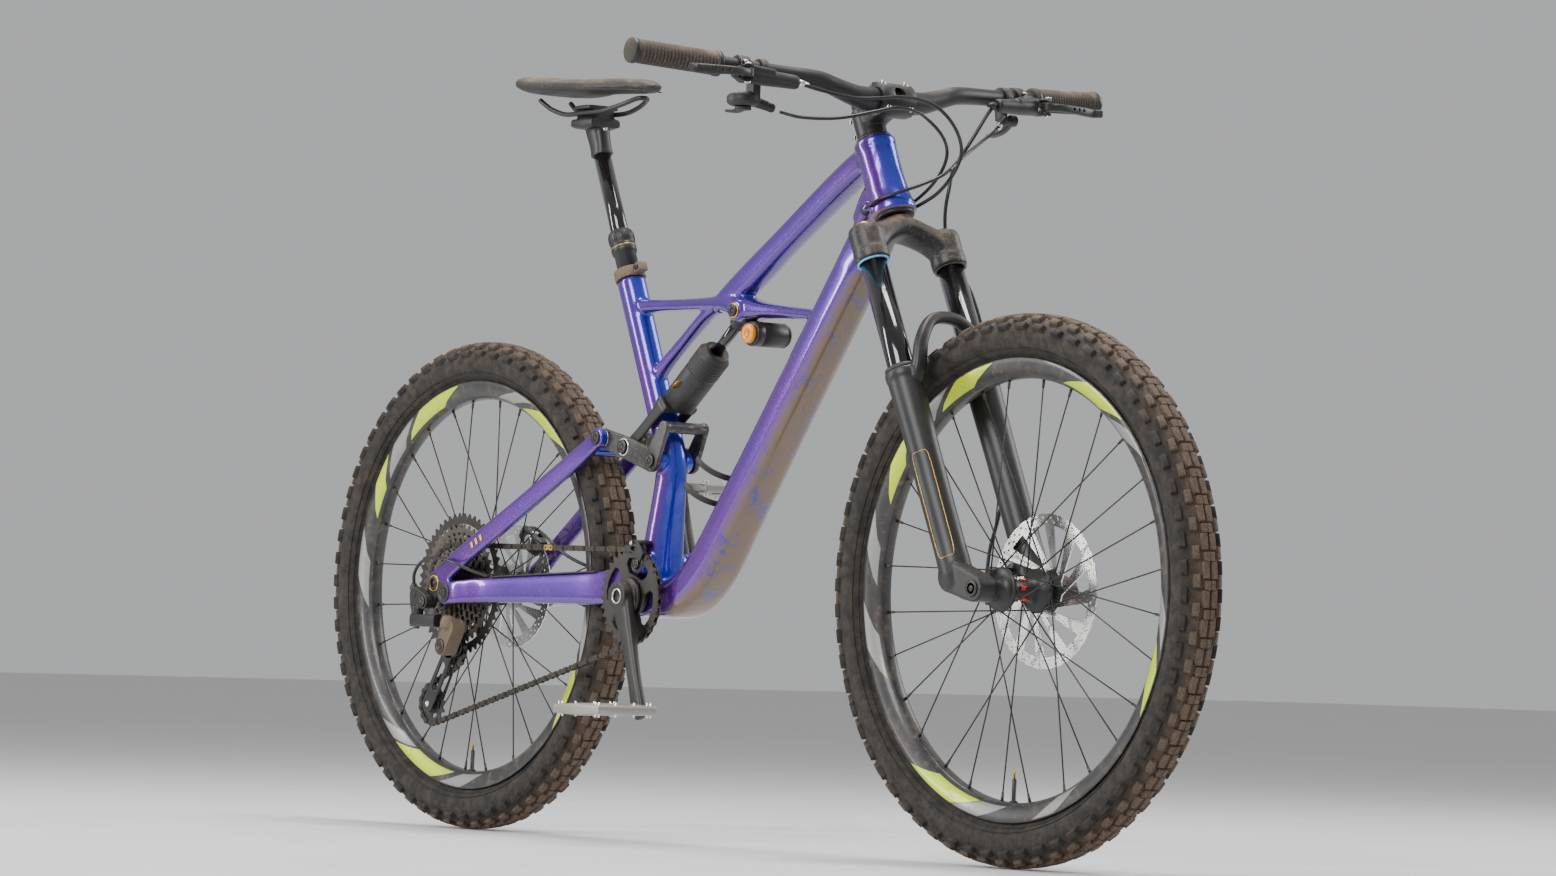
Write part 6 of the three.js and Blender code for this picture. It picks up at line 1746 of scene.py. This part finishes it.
def build_stage():
    floor_paint = Paint("studio_floor", 0.7)
    speck = floor_paint.step(floor_paint.noise(5, 3), 0.3, 0.7)
    floor_paint.set("Base Color", floor_paint.mix(speck, (0.66, 0.655, 0.65), (0.70, 0.695, 0.69)))
    bpy.ops.mesh.primitive_plane_add(size=60, location=(0.6, 0, -0.0006))
    floor = bpy.context.object
    floor.name = "studio_floor"
    floor.data.materials.append(floor_paint.material)
    world = bpy.data.worlds.new("studio")
    world.use_nodes = True
    world.node_tree.nodes["Background"].inputs[0].default_value = (0.86, 0.87, 0.89, 1)
    world.node_tree.nodes["Background"].inputs[1].default_value = 0.55
    bpy.context.scene.world = world

    def lamp(name, place, target, size, power, tint=(1, 1, 1)):
        light = bpy.data.lights.new(name, "AREA")
        light.shape = "RECTANGLE"
        light.size, light.size_y = size
        light.energy = power
        light.color = tint
        obj = bpy.data.objects.new(name, light)
        obj.location = place
        obj.rotation_euler = (Vector(target) - Vector(place)).to_track_quat("-Z", "Y").to_euler()
        bpy.context.collection.objects.link(obj)

    lamp("key", (2.4, -3.6, 2.9), (0.6, 0, 0.5), (1.8, 1.8), 150)
    lamp("side_strip", (-1.6, -3.0, 1.7), (0.4, 0, 0.5), (0.5, 2.4), 90)
    lamp("top", (0.6, 0.3, 3.6), (0.6, 0, 0.4), (2.6, 0.9), 130)
    lamp("back", (1.6, 3.2, 2.2), (0.6, 0, 0.6), (1.6, 1.6), 60)


def build_camera():
    yaw, pitch, roll = math.radians(51.751), math.radians(2.449), math.radians(1.579)
    forward = Vector((-math.sin(yaw) * math.cos(pitch), math.cos(yaw) * math.cos(pitch), math.sin(pitch)))
    level = Vector((math.cos(yaw), math.sin(yaw), 0))
    upright = level.cross(forward)
    right = level * math.cos(roll) + upright * math.sin(roll)
    up = upright * math.cos(roll) - level * math.sin(roll)
    camera = bpy.data.cameras.new("camera")
    camera.lens = 120.47
    camera.sensor_width = 36
    camera.clip_end = 200
    obj = bpy.data.objects.new("camera", camera)
    turn = Matrix((right, up, -forward)).transposed()
    obj.matrix_world = Matrix.Translation((6.2296, -4.3676, 0.2565)) @ turn.to_4x4()
    bpy.context.collection.objects.link(obj)
    bpy.context.scene.camera = obj


def paint_the_rest():
    """CAD pieces that are shown as they are get a worn material."""
    looks = {
        "violet_paint": VIOLET, "black_paint": BLACK, "black_anodised": GLOSS, "black_plastic": PLASTIC,
        "dark_steel": STEEL, "rotor_steel": SILVER, "grey_alloy": ALLOY, "grip_rubber": GRIP,
        "tyre_rubber": PLASTIC, "hose_black": HOSE, "saddle_cover": SADDLE,
    }
    slots = {row["node"]: row["material_slot"] for row in frame["record"]["subparts"]}
    for name, obj in frame["nodes"].items():
        if not obj.hide_render:
            obj.data.materials.clear()
            obj.data.materials.append(looks[slots[name]])


build_frame()
build_stays()
build_linkage()
build_wheels()
build_fork()
build_cockpit()
build_hoses()
build_seat()
build_drivetrain()
build_derailleur()
paint_the_rest()
build_stage()
build_camera()
